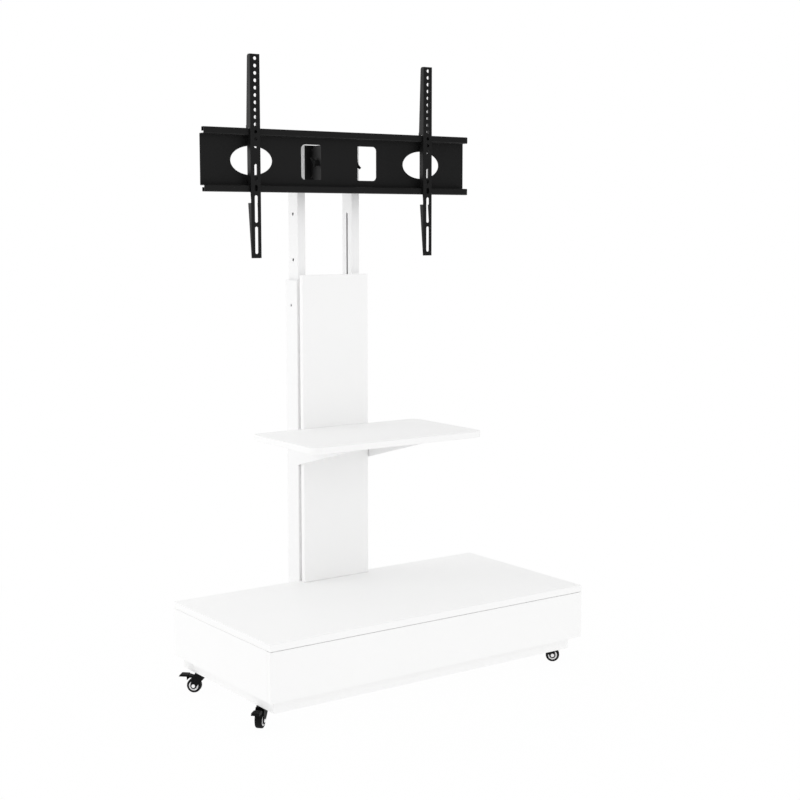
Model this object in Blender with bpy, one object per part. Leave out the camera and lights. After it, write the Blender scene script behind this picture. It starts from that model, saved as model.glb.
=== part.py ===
"""Mobile television stand: a drawer base on four locking castors, a telescopic column and a tilting head.

The origin is on the floor, under the middle of the stand. +X is to the viewer's right, +Y to the back, +Z up.
A depth, below, is a distance behind the face of the drawer front.
"""

import math

import bmesh
import bpy
from mathutils import Matrix, Vector

# Fits shared by all the pieces
SEAT = 0.0003
OVERRUN = 0.004
WHEEL_STEPS = 32
FINE = 20
MEDIUM = 14
COARSE = 10

# Base boards
BASE_WIDTH = 1.000
BASE_DEPTH = 0.500
BOARD = 0.016
LID_THICK = 0.018
LID_EDGE_ROUND = 0.003
BOARD_EDGE_ROUND = 0.001
BOX_HEIGHT = 0.128
FRONT_REVEAL = 0.0010
FRONT_SIDE_GAP = 0.0004
BACK_THICK = 0.016

# Plinth under the base
PLINTH_HEIGHT = 0.035
PLINTH_SIDE_INSET = 0.024
PLINTH_FRONT_INSET = 0.026
PLINTH_BACK_INSET = 0.006
CORNER_BLOCK_WIDTH = 0.024
CORNER_BLOCK_LENGTH = 0.070

# Castors
CASTOR_HEIGHT = 0.053
CASTOR_SIDE_INSET = 0.035
CASTOR_FRONT_INSET = 0.076
CASTOR_BACK_INSET = 0.070
WHEEL_RADIUS = 0.019
WHEEL_WIDTH = 0.018
TYRE_ROUND = 0.0025
CORE_RADIUS = 0.0125
CORE_RECESS = 0.0015
CORE_FLANGE = 0.0022
HUB_RADIUS = 0.0068
CASTOR_TRAIL = 0.0157
CASTOR_CAP_RADIUS = 0.0108
CASTOR_CAP_THICK = 0.0008
CASTOR_STEM_RADIUS = 0.004
CASTOR_STEM_LENGTH = 0.020
RACEWAY_RADIUS = 0.0092
RACEWAY_HEIGHT = 0.0008
KINGPIN_RADIUS = 0.003
KINGPIN_HEAD_RADIUS = 0.0052
KINGPIN_HEAD_HEIGHT = 0.002
RUNNING_GAP = 0.0004
FORK_TOP_THICK = 0.0022
FORK_CHEEK_THICK = 0.0024
FORK_SIDE_GAP = 0.0007
FORK_FRONT = 0.0145
FORK_REAR = 0.013
FORK_SHOULDER_DROP = 0.009
FORK_EYE_RADIUS = 0.0078
AXLE_RADIUS = 0.0025
AXLE_HEAD_RADIUS = 0.005
AXLE_HEAD_SHARE = 0.6
AXLE_HEAD_HEIGHT = 0.0016
PEDAL_PIVOT_BACK = 0.0105
PEDAL_PIVOT_DROP = 0.0103
PEDAL_PIN_RADIUS = 0.0015
PEDAL_REACH = 0.056
PEDAL_TIP_THICK = 0.0060
PEDAL_ROOT_RISE = 0.0018
PEDAL_ROOT_FALL = 0.0026
PEDAL_TOP_DROP = 0.0042
PEDAL_TIP_SLOPE = 0.0045
PEDAL_WIDTH = 0.021
PEDAL_THROAT = 0.0165
BRAKE_GAP = 0.004
BRAKE_START = 60.0
BRAKE_END = 35.0
BACK_TRAIL_TURN = 43.8
FRONT_TRAIL_TURN = 41.4

# Drawer behind the full-width front
DRAWER_BOARD = 0.012
DRAWER_BOTTOM_THICK = 0.006
DRAWER_BOTTOM_RISE = 0.014
DRAWER_SIDE_RISE = 0.008
DRAWER_SIDE_HEIGHT = 0.088
DRAWER_BACK_GAP = 0.0277
DRAWER_BOTTOM_LIFT = 0.006
RUNNER_SPACE = 0.0130
RUNNER_GAP = 0.0006
RUNNER_HEIGHT = 0.030
RUNNER_LIP = 0.0022
RUNNER_RISE = 0.030
RUNNER_FRONT = 0.030
RUNNER_BACK_GAP = 0.034
LATCH_WIDTH = 0.022
LATCH_HEIGHT = 0.018
LATCH_LENGTH = 0.022
LATCH_PLUNGER_RADIUS = 0.004

# Column tubes, fixed to the back of the base
COLUMN_X = 0.089
OUTER_TUBE_WIDTH = 0.040
OUTER_TUBE_DEPTH = 0.060
INNER_TUBE_WIDTH = 0.025
INNER_TUBE_DEPTH = 0.050
TUBE_WALL = 0.0015
TUBE_ROUND = 0.0025
OUTER_TUBE_TOP = 1.0745
OUTER_TUBE_BOTTOM = 0.090
INNER_TUBE_TOP = 1.454
INNER_TUBE_BOTTOM = 0.560
LOCK_Z = 1.0052
LOCK_PITCH = 0.125
LOCK_STEPS = 2
LOCK_HOLE_RADIUS = 0.0045
LOCK_SCREW_RADIUS = 0.0041
LOCK_SOCKET_RADIUS = 0.0022
LOCK_SOCKET_DEPTH = 0.003
GUIDE_SLOT_HALF_WIDTH = 0.0045
GUIDE_SCREW_RADIUS = 0.003
GUIDE_SCREW_HEAD_RADIUS = 0.006
GUIDE_SCREW_HEAD_HEIGHT = 0.003
GUIDE_SCREW_REACH = 0.012
COLLAR_HEIGHT = 0.040
COLLAR_SINK = 0.0005
CAP_THICK = 0.003
CAP_PLUG = 0.010
ACCESS_RADIUS = 0.008
ACCESS_SHARES = (0.22, 0.78)
BOSS_RADIUS = 0.008
BOSS_SHARES = (0.08, 0.40, 0.85)

# Column cover panel
PANEL_INSET = 0.0265
PANEL_THICK = 0.015
PANEL_HALF_WIDTH = 0.1073
PANEL_TOP = 1.089

# Shelf and its two brackets
SHELF_TOP = 0.667
SHELF_THICK = 0.017
SHELF_WIDTH = 0.550
SHELF_DEPTH = 0.3180
SHELF_BACK_GAP = 0.0005
SHELF_CORNER_ROUND = 0.0275
SHELF_EDGE_ROUND = 0.0015
BRACKET_THICK = 0.002
BRACKET_HEIGHT = 0.087
BRACKET_REACH = 0.310
BRACKET_TIP_HEIGHT = 0.004
BRACKET_FLANGE = 0.020
BRACKET_BACK_INSET = 0.006

# Tilting head
PLATE_WIDTH = 0.853
PLATE_CENTRE_Z = 1.393
PLATE_INSET = 0.0495
PLATE_HEIGHT = 0.1646
SHEET = 0.002
RAIL_FORWARD = 0.0216
RAIL_HEIGHT = 0.018
RAIL_RETURN = 0.0127
RAIL_LIP = 0.011
OVAL_X = 0.2755
OVAL_WIDTH = 0.126
OVAL_HEIGHT = 0.0755
WINDOW_WIDTH = 0.245
WINDOW_HEIGHT = 0.093
WINDOW_ROUND = 0.0115
TONGUE_HALF_WIDTH = 0.0595
EAR_HEIGHT = 0.0926
EAR_REACH = 0.042
EAR_ROUND = 0.012
PIVOT_INSET = 0.0315
PIVOT_HOLE_RADIUS = 0.0044
YOKE_SHEET = 0.0027
YOKE_HEIGHT = 0.096
YOKE_FLANGE = 0.022
YOKE_EAR_RADIUS = 0.015
YOKE_EAR_ROOT_SHARE = 0.84
TILT_BOLT_RADIUS = 0.004
TILT_BOLT_END = 0.008
KNOB_WASHER_RADIUS = 0.009
KNOB_WASHER_THICK = 0.0015
KNOB_BOSS_RADIUS = 0.0078
KNOB_BOSS_LENGTH = 0.0112
KNOB_WING_SPAN = 0.032
KNOB_WING_THICK = 0.0065
KNOB_WING_REACH = 0.0170
KNOB_WING_ROOT = 0.0045
KNOB_TURN = -34.0

# Arms that hold the screen
ARM_X = 0.2790
ARM_WIDTH = 0.0295
ARM_SHEET = 0.0018
ARM_FORWARD = 0.0076
ARM_TOP = 1.6640
ARM_BOTTOM = 1.1390
ARM_TOP_FLANGE = 0.0150
ARM_HOOK_FLANGE = 0.0225
ARM_MIDDLE_FLANGE = 0.0195
ARM_LOWER_FLANGE = 0.0175
ARM_FOOT_FLANGE = 0.0030
ARM_BARE_LENGTH = 0.028
ARM_CORNER = 0.006
ARM_RAIL_GAP = 0.0005
ARM_HOOK_FINGER = 0.0035
ARM_HOOK_DROP = 0.0075
ARM_HOLE_RADIUS = 0.0046
ARM_HOLE_TOP = 0.0110
ARM_HOLE_PITCH = 0.01871
ARM_HOLE_COUNT = 13
ARM_SLOT_LENGTH = 0.0714
ARM_SHORT_SLOT_LENGTH = 0.0170
ARM_UPPER_SLOT_LENGTH = 0.0433
ARM_SLOT_GAP = 0.0100
ARM_SLOT_FOOT = 0.0108

# Places worked out from the sizes above
OVERALL_DEPTH = BASE_DEPTH + SEAT + OUTER_TUBE_DEPTH
FRONT = -OVERALL_DEPTH / 2
BOX_BOTTOM = CASTOR_HEIGHT + PLINTH_HEIGHT
LID_BOTTOM = BOX_BOTTOM + BOX_HEIGHT
LID_TOP = LID_BOTTOM + LID_THICK
HALF_WIDTH = BASE_WIDTH / 2
INNER_HALF_WIDTH = HALF_WIDTH - BOARD
FRONT_BACK = FRONT + BOARD
BASE_BACK = FRONT + BASE_DEPTH
BACK_INNER = BASE_BACK - BACK_THICK
TUBE_FRONT = BASE_BACK + SEAT
TUBE_BACK = TUBE_FRONT + OUTER_TUBE_DEPTH
TUBE_MIDDLE = (TUBE_FRONT + TUBE_BACK) / 2
INNER_FRONT = TUBE_MIDDLE - INNER_TUBE_DEPTH / 2
OUTER_FACE_X = COLUMN_X + OUTER_TUBE_WIDTH / 2
INNER_FACE_X = COLUMN_X - INNER_TUBE_WIDTH / 2
SHELF_BOTTOM = SHELF_TOP - SHELF_THICK
PANEL_FRONT = BASE_BACK - PANEL_INSET
PIVOT = Vector((0.0, BASE_BACK - PIVOT_INSET, PLATE_CENTRE_Z))
PLATE_FRONT = BASE_BACK - PLATE_INSET
RAIL_FACE = PLATE_FRONT - RAIL_FORWARD
ARM_FACE = RAIL_FACE - ARM_FORWARD
TURN_TO = {
    "X": Matrix.Rotation(math.pi / 2, 4, "Y"),
    "Y": Matrix.Rotation(-math.pi / 2, 4, "X"),
    "Z": Matrix.Identity(4),
}


def clear_scene():
    """Remove every object, so that the script gives the same stand from any file."""
    for item in list(bpy.data.objects):
        bpy.data.objects.remove(item, do_unlink=True)


def paint(name, colour, roughness, metallic=0.0):
    """A Principled material of one colour."""
    material = bpy.data.materials.new(name)
    material.use_nodes = True
    shader = material.node_tree.nodes["Principled BSDF"]
    shader.inputs["Base Color"].default_value = (*colour, 1.0)
    shader.inputs["Roughness"].default_value = roughness
    shader.inputs["Metallic"].default_value = metallic
    return material


def add_block(bm, low, high):
    """A box between two corners."""
    low = Vector(low)
    high = Vector(high)
    matrix = Matrix.Translation((low + high) / 2) @ Matrix.Diagonal((*(high - low), 1.0))
    return bmesh.ops.create_cube(bm, size=1.0, matrix=matrix)["verts"]


def add_rod(bm, centre, axis, low, high, radius, segments=MEDIUM, end_radius=None):
    """A round bar along X, Y or Z from low to high; centre gives its other two coordinates."""
    index = "XYZ".index(axis)
    middle = Vector(centre)
    middle[index] = (low + high) / 2
    matrix = Matrix.Translation(middle) @ TURN_TO[axis]
    return bmesh.ops.create_cone(
        bm,
        cap_ends=True,
        segments=segments,
        radius1=radius,
        radius2=radius if end_radius is None else end_radius,
        depth=high - low,
        matrix=matrix,
    )["verts"]


def add_prism(bm, outline, axis, low, high):
    """An outline pushed along an axis. Its points give the other two coordinates, in X, Y, Z order."""
    index = "XYZ".index(axis)
    corners = []
    for first, second in outline:
        point = [first, second]
        point.insert(index, low)
        corners.append(bm.verts.new(point))
    face = bm.faces.new(corners)
    pushed = bmesh.ops.extrude_face_region(bm, geom=[face])["geom"]
    step = Vector((0.0, 0.0, 0.0))
    step[index] = high - low
    bmesh.ops.translate(bm, vec=step, verts=[item for item in pushed if isinstance(item, bmesh.types.BMVert)])


def arc(centre, radius, start, stop, steps):
    """Points on an arc between two angles in degrees."""
    points = []
    for step in range(steps + 1):
        angle = math.radians(start + (stop - start) * step / steps)
        points.append((centre[0] + radius * math.cos(angle), centre[1] + radius * math.sin(angle)))
    return points


def rounded(corners, radii, steps=4):
    """An outline whose corners are filleted; a radius of zero keeps its corner sharp."""
    outline = []
    for number, corner in enumerate(corners):
        here = Vector(corner)
        radius = radii[number]
        if radius == 0.0:
            outline.append(tuple(here))
            continue
        before = (Vector(corners[number - 1]) - here).normalized()
        after = (Vector(corners[(number + 1) % len(corners)]) - here).normalized()
        half_angle = before.angle(after) / 2
        centre = here + (before + after).normalized() * radius / math.sin(half_angle)
        start = here + before * radius / math.tan(half_angle) - centre
        stop = here + after * radius / math.tan(half_angle) - centre
        sweep = start.angle_signed(stop)
        for step in range(steps + 1):
            turn = Matrix.Rotation(-sweep * step / steps, 2)
            outline.append(tuple(centre + turn @ start))
    return outline


def rectangle(low, high, radius=0.0, steps=4):
    """A rectangle between two corners, all filleted alike."""
    corners = [(low[0], low[1]), (high[0], low[1]), (high[0], high[1]), (low[0], high[1])]
    return rounded(corners, [radius] * len(corners), steps)


def stadium(centre, half_width, half_length, steps=6):
    """A slot with round ends; it runs along the second coordinate."""
    reach = half_length - half_width
    upper = arc((centre[0], centre[1] + reach), half_width, 0, 180, steps)
    lower = arc((centre[0], centre[1] - reach), half_width, 180, 360, steps)
    return upper + lower


def ring_mesh(profile, segments, axis):
    """A closed profile of radius and height pairs, turned once round an axis through the origin."""
    bm = bmesh.new()
    corners = [bm.verts.new((radius, 0.0, height)) for radius, height in profile]
    edges = [bm.edges.new((corners[number - 1], corners[number])) for number in range(len(corners))]
    bmesh.ops.spin(
        bm,
        geom=corners + edges,
        cent=(0.0, 0.0, 0.0),
        axis=(0.0, 0.0, 1.0),
        angle=2 * math.pi,
        steps=segments,
        use_merge=True,
    )
    bmesh.ops.transform(bm, matrix=TURN_TO[axis], verts=bm.verts)
    return to_mesh(bm)


def to_mesh(bm):
    """Finish a bmesh: its faces outward, and free it."""
    bmesh.ops.recalc_face_normals(bm, faces=bm.faces)
    mesh = bpy.data.meshes.new("shape")
    bm.to_mesh(mesh)
    bm.free()
    return mesh


def combined(body, tools, operation):
    """Cut the tool meshes from a body, or join them to it, and return the result as one mesh."""
    host = bpy.data.objects.new("host", body)
    bpy.context.collection.objects.link(host)
    helpers = []
    for tool in tools:
        helper = bpy.data.objects.new("tool", tool)
        helper.hide_render = True
        helper.display_type = "WIRE"
        bpy.context.collection.objects.link(helper)
        helpers.append(helper)
        modifier = host.modifiers.new("combine", "BOOLEAN")
        modifier.object = helper
        modifier.operation = operation
        modifier.solver = "EXACT"
    evaluated = host.evaluated_get(bpy.context.evaluated_depsgraph_get())
    result = bpy.data.meshes.new_from_object(evaluated)
    for item in [host, *helpers]:
        bpy.data.objects.remove(item, do_unlink=True)
    return result


def cut(body, *tools):
    """Subtract tool meshes from a body mesh."""
    return combined(body, tools, "DIFFERENCE")


def join(body, *tools):
    """Unite tool meshes with a body mesh."""
    return combined(body, tools, "UNION")


def place(name, mesh, material, parent=None, location=(0.0, 0.0, 0.0), smooth=False, bevel=0.0):
    """Put a mesh into the scene as one named sub-part."""
    mesh.name = name
    if smooth:
        mesh.shade_smooth()
        mesh.set_sharp_from_angle(angle=math.radians(35))
    mesh.materials.clear()
    mesh.materials.append(material)
    item = bpy.data.objects.new(name, mesh)
    bpy.context.collection.objects.link(item)
    item.location = location
    if parent is not None:
        item.parent = parent
    if bevel > 0.0:
        modifier = item.modifiers.new("edge", "BEVEL")
        modifier.width = bevel
        modifier.segments = 1
        modifier.limit_method = "ANGLE"
    return item


def make_pivot(name, location, parent=None, turn=0.0):
    """An empty that marks a joint's axis."""
    pivot = bpy.data.objects.new(name, None)
    bpy.context.collection.objects.link(pivot)
    pivot.location = location
    pivot.rotation_euler = (0.0, 0.0, math.radians(turn))
    if parent is not None:
        pivot.parent = parent
    return pivot


def block_mesh(low, high):
    """One box as a mesh."""
    bm = bmesh.new()
    add_block(bm, low, high)
    return to_mesh(bm)


def prism_mesh(outline, axis, low, high):
    """One pushed outline as a mesh."""
    bm = bmesh.new()
    add_prism(bm, outline, axis, low, high)
    return to_mesh(bm)


def rods_mesh(rods):
    """Several separate round bars as one mesh."""
    bm = bmesh.new()
    for rod in rods:
        add_rod(bm, *rod)
    return to_mesh(bm)


def build_base(white):
    """Lid, sides, back and bottom of the box."""
    lid = block_mesh((-HALF_WIDTH, FRONT, LID_BOTTOM), (HALF_WIDTH, BASE_BACK, LID_TOP))
    place("lid_top", lid, white, bevel=LID_EDGE_ROUND)
    side_front = FRONT_BACK + FRONT_SIDE_GAP
    side_top = LID_BOTTOM - SEAT
    for name, side in (("side_left", -1), ("side_right", 1)):
        faces = sorted((side * INNER_HALF_WIDTH, side * HALF_WIDTH))
        board = block_mesh((faces[0], side_front, BOX_BOTTOM), (faces[1], BASE_BACK, side_top))
        place(name, board, white, bevel=BOARD_EDGE_ROUND)
    reach = INNER_HALF_WIDTH - SEAT
    place("back_panel", block_mesh((-reach, BACK_INNER, BOX_BOTTOM), (reach, BASE_BACK, side_top)), white)
    bottom = block_mesh((-reach, side_front, BOX_BOTTOM), (reach, BACK_INNER - SEAT, BOX_BOTTOM + BOARD))
    place("bottom_panel", bottom, white)


def plinth_reach():
    """Half width, front and back of the plinth."""
    return (HALF_WIDTH - PLINTH_SIDE_INSET, FRONT + PLINTH_FRONT_INSET, BASE_BACK - PLINTH_BACK_INSET)


def castor_places():
    """Name, side and swivel axis of each castor, with the turn of its trail from +X."""
    half, front, back = plinth_reach()
    across = HALF_WIDTH - CASTOR_SIDE_INSET
    near = front + CASTOR_FRONT_INSET
    far = back - CASTOR_BACK_INSET
    return (
        ("castor_front_left", (-across, near), 180.0 + FRONT_TRAIL_TURN),
        ("castor_front_right", (across, near), -FRONT_TRAIL_TURN),
        ("castor_back_left", (-across, far), 180.0 - BACK_TRAIL_TURN),
        ("castor_back_right", (across, far), BACK_TRAIL_TURN),
    )


def build_plinth(white):
    """The plinth frame under the box, and the blocks that are bored for the castors' stems."""
    half, front, back = plinth_reach()
    top = BOX_BOTTOM - SEAT
    frame = block_mesh((-half, front, CASTOR_HEIGHT), (half, back, top))
    hollow = block_mesh(
        (-half + BOARD, front + BOARD, CASTOR_HEIGHT - OVERRUN),
        (half - BOARD, back - BOARD, top + OVERRUN),
    )
    blocks = []
    bores = []
    for _, (x, y), _ in castor_places():
        side = math.copysign(1.0, x)
        outer = side * (half - BOARD / 2)
        across = sorted((outer, outer - side * (BOARD / 2 + CORNER_BLOCK_WIDTH)))
        reach = CORNER_BLOCK_LENGTH / 2
        blocks.append(block_mesh((across[0], y - reach, CASTOR_HEIGHT), (across[1], y + reach, top)))
        span = (CASTOR_HEIGHT - OVERRUN, CASTOR_HEIGHT + CASTOR_STEM_LENGTH + SEAT)
        bores.append(((x, y, 0.0), "Z", *span, CASTOR_STEM_RADIUS + SEAT, MEDIUM))
    place("plinth_frame", cut(join(cut(frame, hollow), *blocks), rods_mesh(bores)), white)


def castor_plate_mesh():
    """Round cap with the stem that is pressed into the plinth, its raceway and the pin that holds the fork."""
    top = CASTOR_HEIGHT - SEAT
    under = top - CASTOR_CAP_THICK
    middle = (top + under) / 2
    race = under - RACEWAY_HEIGHT
    head_top = race - 2 * RUNNING_GAP - FORK_TOP_THICK
    head_under = head_top - KINGPIN_HEAD_HEIGHT
    stages = (
        (middle, CASTOR_HEIGHT + CASTOR_STEM_LENGTH, CASTOR_STEM_RADIUS, MEDIUM),
        (race, middle, RACEWAY_RADIUS, FINE),
        ((head_top + head_under) / 2, under, KINGPIN_RADIUS, FINE),
        (head_under, head_top, KINGPIN_HEAD_RADIUS, FINE),
    )
    centre = (0.0, 0.0, 0.0)
    rods = [rods_mesh([(centre, "Z", low, high, radius, steps)]) for low, high, radius, steps in stages]
    return join(rods_mesh([(centre, "Z", under, top, CASTOR_CAP_RADIUS, FINE)]), *rods)


def fork_levels():
    """Top and underside of the fork's crown."""
    top = CASTOR_HEIGHT - SEAT - CASTOR_CAP_THICK - RACEWAY_HEIGHT - RUNNING_GAP
    return top, top - FORK_TOP_THICK


def cheek_faces():
    """Inner and outer distance of a fork cheek from the wheel's middle plane."""
    inner = WHEEL_WIDTH / 2 + FORK_SIDE_GAP
    return inner, inner + FORK_CHEEK_THICK


def castor_fork_mesh():
    """Fork with two tapered cheeks; the axle is riveted through them. The wheel trails along +X."""
    top, under = fork_levels()
    inner, outer = cheek_faces()
    shoulder = top - FORK_SHOULDER_DROP
    eye = (CASTOR_TRAIL, WHEEL_RADIUS)
    lean = math.degrees(math.atan2(CASTOR_TRAIL + FORK_FRONT, shoulder - WHEEL_RADIUS))
    outline = [(-FORK_FRONT, top), (-FORK_FRONT, shoulder)]
    outline += arc(eye, FORK_EYE_RADIUS, 180 + lean / 2, 370, 8)
    outline += [(CASTOR_TRAIL + FORK_EYE_RADIUS / 2, shoulder), (FORK_REAR, top)]
    crown = block_mesh((-FORK_FRONT, -outer, under), (FORK_REAR, outer, top))
    cheeks = []
    for side in (-1, 1):
        faces = sorted((side * inner, side * outer))
        cheeks.append(prism_mesh(outline, "Y", *faces))
    axle = rods_mesh([((CASTOR_TRAIL, 0.0, WHEEL_RADIUS), "Y", -outer, outer, AXLE_RADIUS)])
    heads = []
    for side in (-1, 1):
        ends = (side * (outer - FORK_CHEEK_THICK / 2), side * (outer + AXLE_HEAD_HEIGHT))
        low, high = sorted(ends)
        small = AXLE_HEAD_RADIUS * AXLE_HEAD_SHARE
        radii = (small, AXLE_HEAD_RADIUS) if side < 0 else (AXLE_HEAD_RADIUS, small)
        centre = (CASTOR_TRAIL, 0.0, WHEEL_RADIUS)
        heads.append(rods_mesh([(centre, "Y", low, high, radii[0], MEDIUM, radii[1])]))
    body = join(crown, *cheeks, axle, *heads)
    pivot_x, pivot_z = pedal_pivot()
    holes = rods_mesh(
        [
            ((0.0, 0.0, 0.0), "Z", under - OVERRUN, top + OVERRUN, KINGPIN_RADIUS + RUNNING_GAP),
            ((pivot_x, 0.0, pivot_z), "Y", -outer - OVERRUN, outer + OVERRUN, PEDAL_PIN_RADIUS + RUNNING_GAP),
        ]
    )
    return cut(body, holes)


def castor_core_mesh():
    """Wheel core with a recessed web and a bored hub, about its own axle."""
    half = WHEEL_WIDTH / 2
    web = half - CORE_RECESS - CORE_FLANGE
    bore = AXLE_RADIUS + RUNNING_GAP
    rim = CORE_RADIUS - CORE_FLANGE
    hub = [(bore, half), (HUB_RADIUS, half), (HUB_RADIUS, web)]
    right = hub + [(rim, web), (rim, half), (CORE_RADIUS, half)]
    left = [(radius, -height) for radius, height in reversed(right)]
    return ring_mesh(right + left, FINE, "Y")


def castor_tyre_mesh():
    """Tyre with rounded shoulders, about its own axle."""
    half = WHEEL_WIDTH / 2
    inner = CORE_RADIUS + SEAT
    shoulder = arc((WHEEL_RADIUS - TYRE_ROUND, half - TYRE_ROUND), TYRE_ROUND, 90, 0, 2)
    profile = [(inner, half), *shoulder]
    profile += [(radius, -height) for radius, height in reversed(profile)]
    return ring_mesh(profile, WHEEL_STEPS, "Y")


def pedal_pivot():
    """Where the pedal turns on the fork, in the castor's own frame."""
    return PEDAL_PIVOT_BACK, CASTOR_HEIGHT - PEDAL_PIVOT_DROP


def castor_pedal_mesh():
    """Brake pedal, about its own pivot pin, with the shoe that it presses on the tyre."""
    pivot_x, pivot_z = pedal_pivot()
    inner, outer = cheek_faces()
    top = CASTOR_HEIGHT - PEDAL_TOP_DROP - pivot_z
    tip = PEDAL_REACH - pivot_x
    throat = PEDAL_THROAT / 2
    wide = PEDAL_WIDTH / 2
    knee = CASTOR_TRAIL + WHEEL_RADIUS - pivot_x
    axle = (CASTOR_TRAIL - pivot_x, WHEEL_RADIUS - pivot_z)
    shoe = arc(axle, WHEEL_RADIUS + BRAKE_GAP, BRAKE_START, BRAKE_END, 4)
    root = prism_mesh(
        [
            (-PEDAL_ROOT_RISE, -PEDAL_ROOT_FALL),
            (shoe[0][0], -PEDAL_ROOT_FALL),
            *shoe,
            (knee, -PEDAL_ROOT_FALL),
            (knee, top),
            (2 * PEDAL_ROOT_FALL, PEDAL_ROOT_RISE),
            (-PEDAL_ROOT_RISE, PEDAL_ROOT_RISE),
        ],
        "Y",
        -throat,
        throat,
    )
    pad = prism_mesh(
        [
            (knee - PEDAL_TIP_SLOPE, top - PEDAL_TIP_SLOPE),
            (knee, top - PEDAL_TIP_THICK),
            (tip, top - PEDAL_TIP_THICK),
            (tip - PEDAL_TIP_SLOPE, top),
            (knee - PEDAL_TIP_SLOPE, top),
        ],
        "Y",
        -wide,
        wide,
    )
    pin = rods_mesh([((0.0, 0.0, 0.0), "Y", -outer, outer, PEDAL_PIN_RADIUS, COARSE)])
    return join(root, pad, pin)


def build_castors(steel, black, rubber, pale):
    """Four castors that share their meshes."""
    plate = castor_plate_mesh()
    fork = castor_fork_mesh()
    core = castor_core_mesh()
    tyre = castor_tyre_mesh()
    pedal = castor_pedal_mesh()
    pivot_x, pivot_z = pedal_pivot()
    for name, (x, y), turn in castor_places():
        base = make_pivot(name + "_seat", (x, y, 0.0))
        swivel = make_pivot(name + "_swivel", (x, y, 0.0), turn=turn)
        wheel = (CASTOR_TRAIL, 0.0, WHEEL_RADIUS)
        place(name + "_plate", plate, steel, parent=base)
        place(name + "_fork", fork, black, parent=swivel, smooth=True)
        place(name + "_core", core, pale, parent=swivel, location=wheel, smooth=True)
        place(name + "_tyre", tyre, rubber, parent=swivel, location=wheel, smooth=True)
        place(name + "_pedal", pedal, black, parent=swivel, location=(pivot_x, 0.0, pivot_z))


def build_drawer(white, grey):
    """Full-width front with a shallow box on two runners, and the push latch behind it."""
    outer = INNER_HALF_WIDTH - RUNNER_SPACE
    inner = outer - DRAWER_BOARD
    low = BOX_BOTTOM + BOARD + DRAWER_SIDE_RISE
    high = low + DRAWER_SIDE_HEIGHT
    start = FRONT_BACK + SEAT
    stop = BACK_INNER - DRAWER_BACK_GAP
    front = block_mesh((-HALF_WIDTH, FRONT, BOX_BOTTOM), (HALF_WIDTH, FRONT_BACK, LID_BOTTOM - FRONT_REVEAL))
    place("drawer_front", front, white, bevel=BOARD_EDGE_ROUND)
    for name, side in (("drawer_side_left", -1), ("drawer_side_right", 1)):
        faces = sorted((side * inner, side * outer))
        place(name, block_mesh((faces[0], start, low), (faces[1], stop, high)), white)
    reach = inner - SEAT
    back = block_mesh((-reach, stop - DRAWER_BOARD, low), (reach, stop, high))
    place("drawer_back", back, white)
    floor = low + DRAWER_BOTTOM_LIFT
    bottom = block_mesh(
        (-reach, start, floor),
        (reach, stop - DRAWER_BOARD - SEAT, floor + DRAWER_BOTTOM_THICK),
    )
    place("drawer_bottom", bottom, white)
    thick = (RUNNER_SPACE - RUNNER_GAP - 2 * SEAT) / 2
    z_low = BOX_BOTTOM + BOARD + RUNNER_RISE
    z_high = z_low + RUNNER_HEIGHT
    far = BACK_INNER - RUNNER_BACK_GAP
    for name, side in (("left", -1), ("right", 1)):
        wall = INNER_HALF_WIDTH - SEAT
        faces = sorted((side * wall, side * (wall - thick)))
        fixed = block_mesh((faces[0], FRONT + RUNNER_FRONT, z_low), (faces[1], far, z_high))
        place("runner_fixed_" + name, fixed, grey)
        wall = outer + SEAT
        faces = sorted((side * wall, side * (wall + thick)))
        moving = block_mesh((faces[0], start, z_low + RUNNER_LIP), (faces[1], far, z_high - RUNNER_LIP))
        place("runner_moving_" + name, moving, grey)
    middle = (low + high) / 2
    body_back = BACK_INNER - SEAT
    body = block_mesh(
        (-LATCH_WIDTH / 2, body_back - LATCH_LENGTH, middle - LATCH_HEIGHT / 2),
        (LATCH_WIDTH / 2, body_back, middle + LATCH_HEIGHT / 2),
    )
    tip = rods_mesh(
        [((0.0, 0.0, middle), "Y", stop + SEAT, body_back - LATCH_LENGTH / 2, LATCH_PLUNGER_RADIUS)]
    )
    place("push_latch", join(body, tip), grey)


def tube_shapes(centre, size, low, high):
    """Outer and inner solids of an upright rectangular tube with rounded edges."""
    reach = Vector(size) / 2
    middle = Vector(centre)
    wall = Vector((TUBE_WALL, TUBE_WALL))
    outer = rectangle(middle - reach, middle + reach, TUBE_ROUND, 2)
    inner = rectangle(middle - reach + wall, middle + reach - wall, TUBE_ROUND - TUBE_WALL, 2)
    return prism_mesh(outer, "Z", low, high), inner


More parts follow.
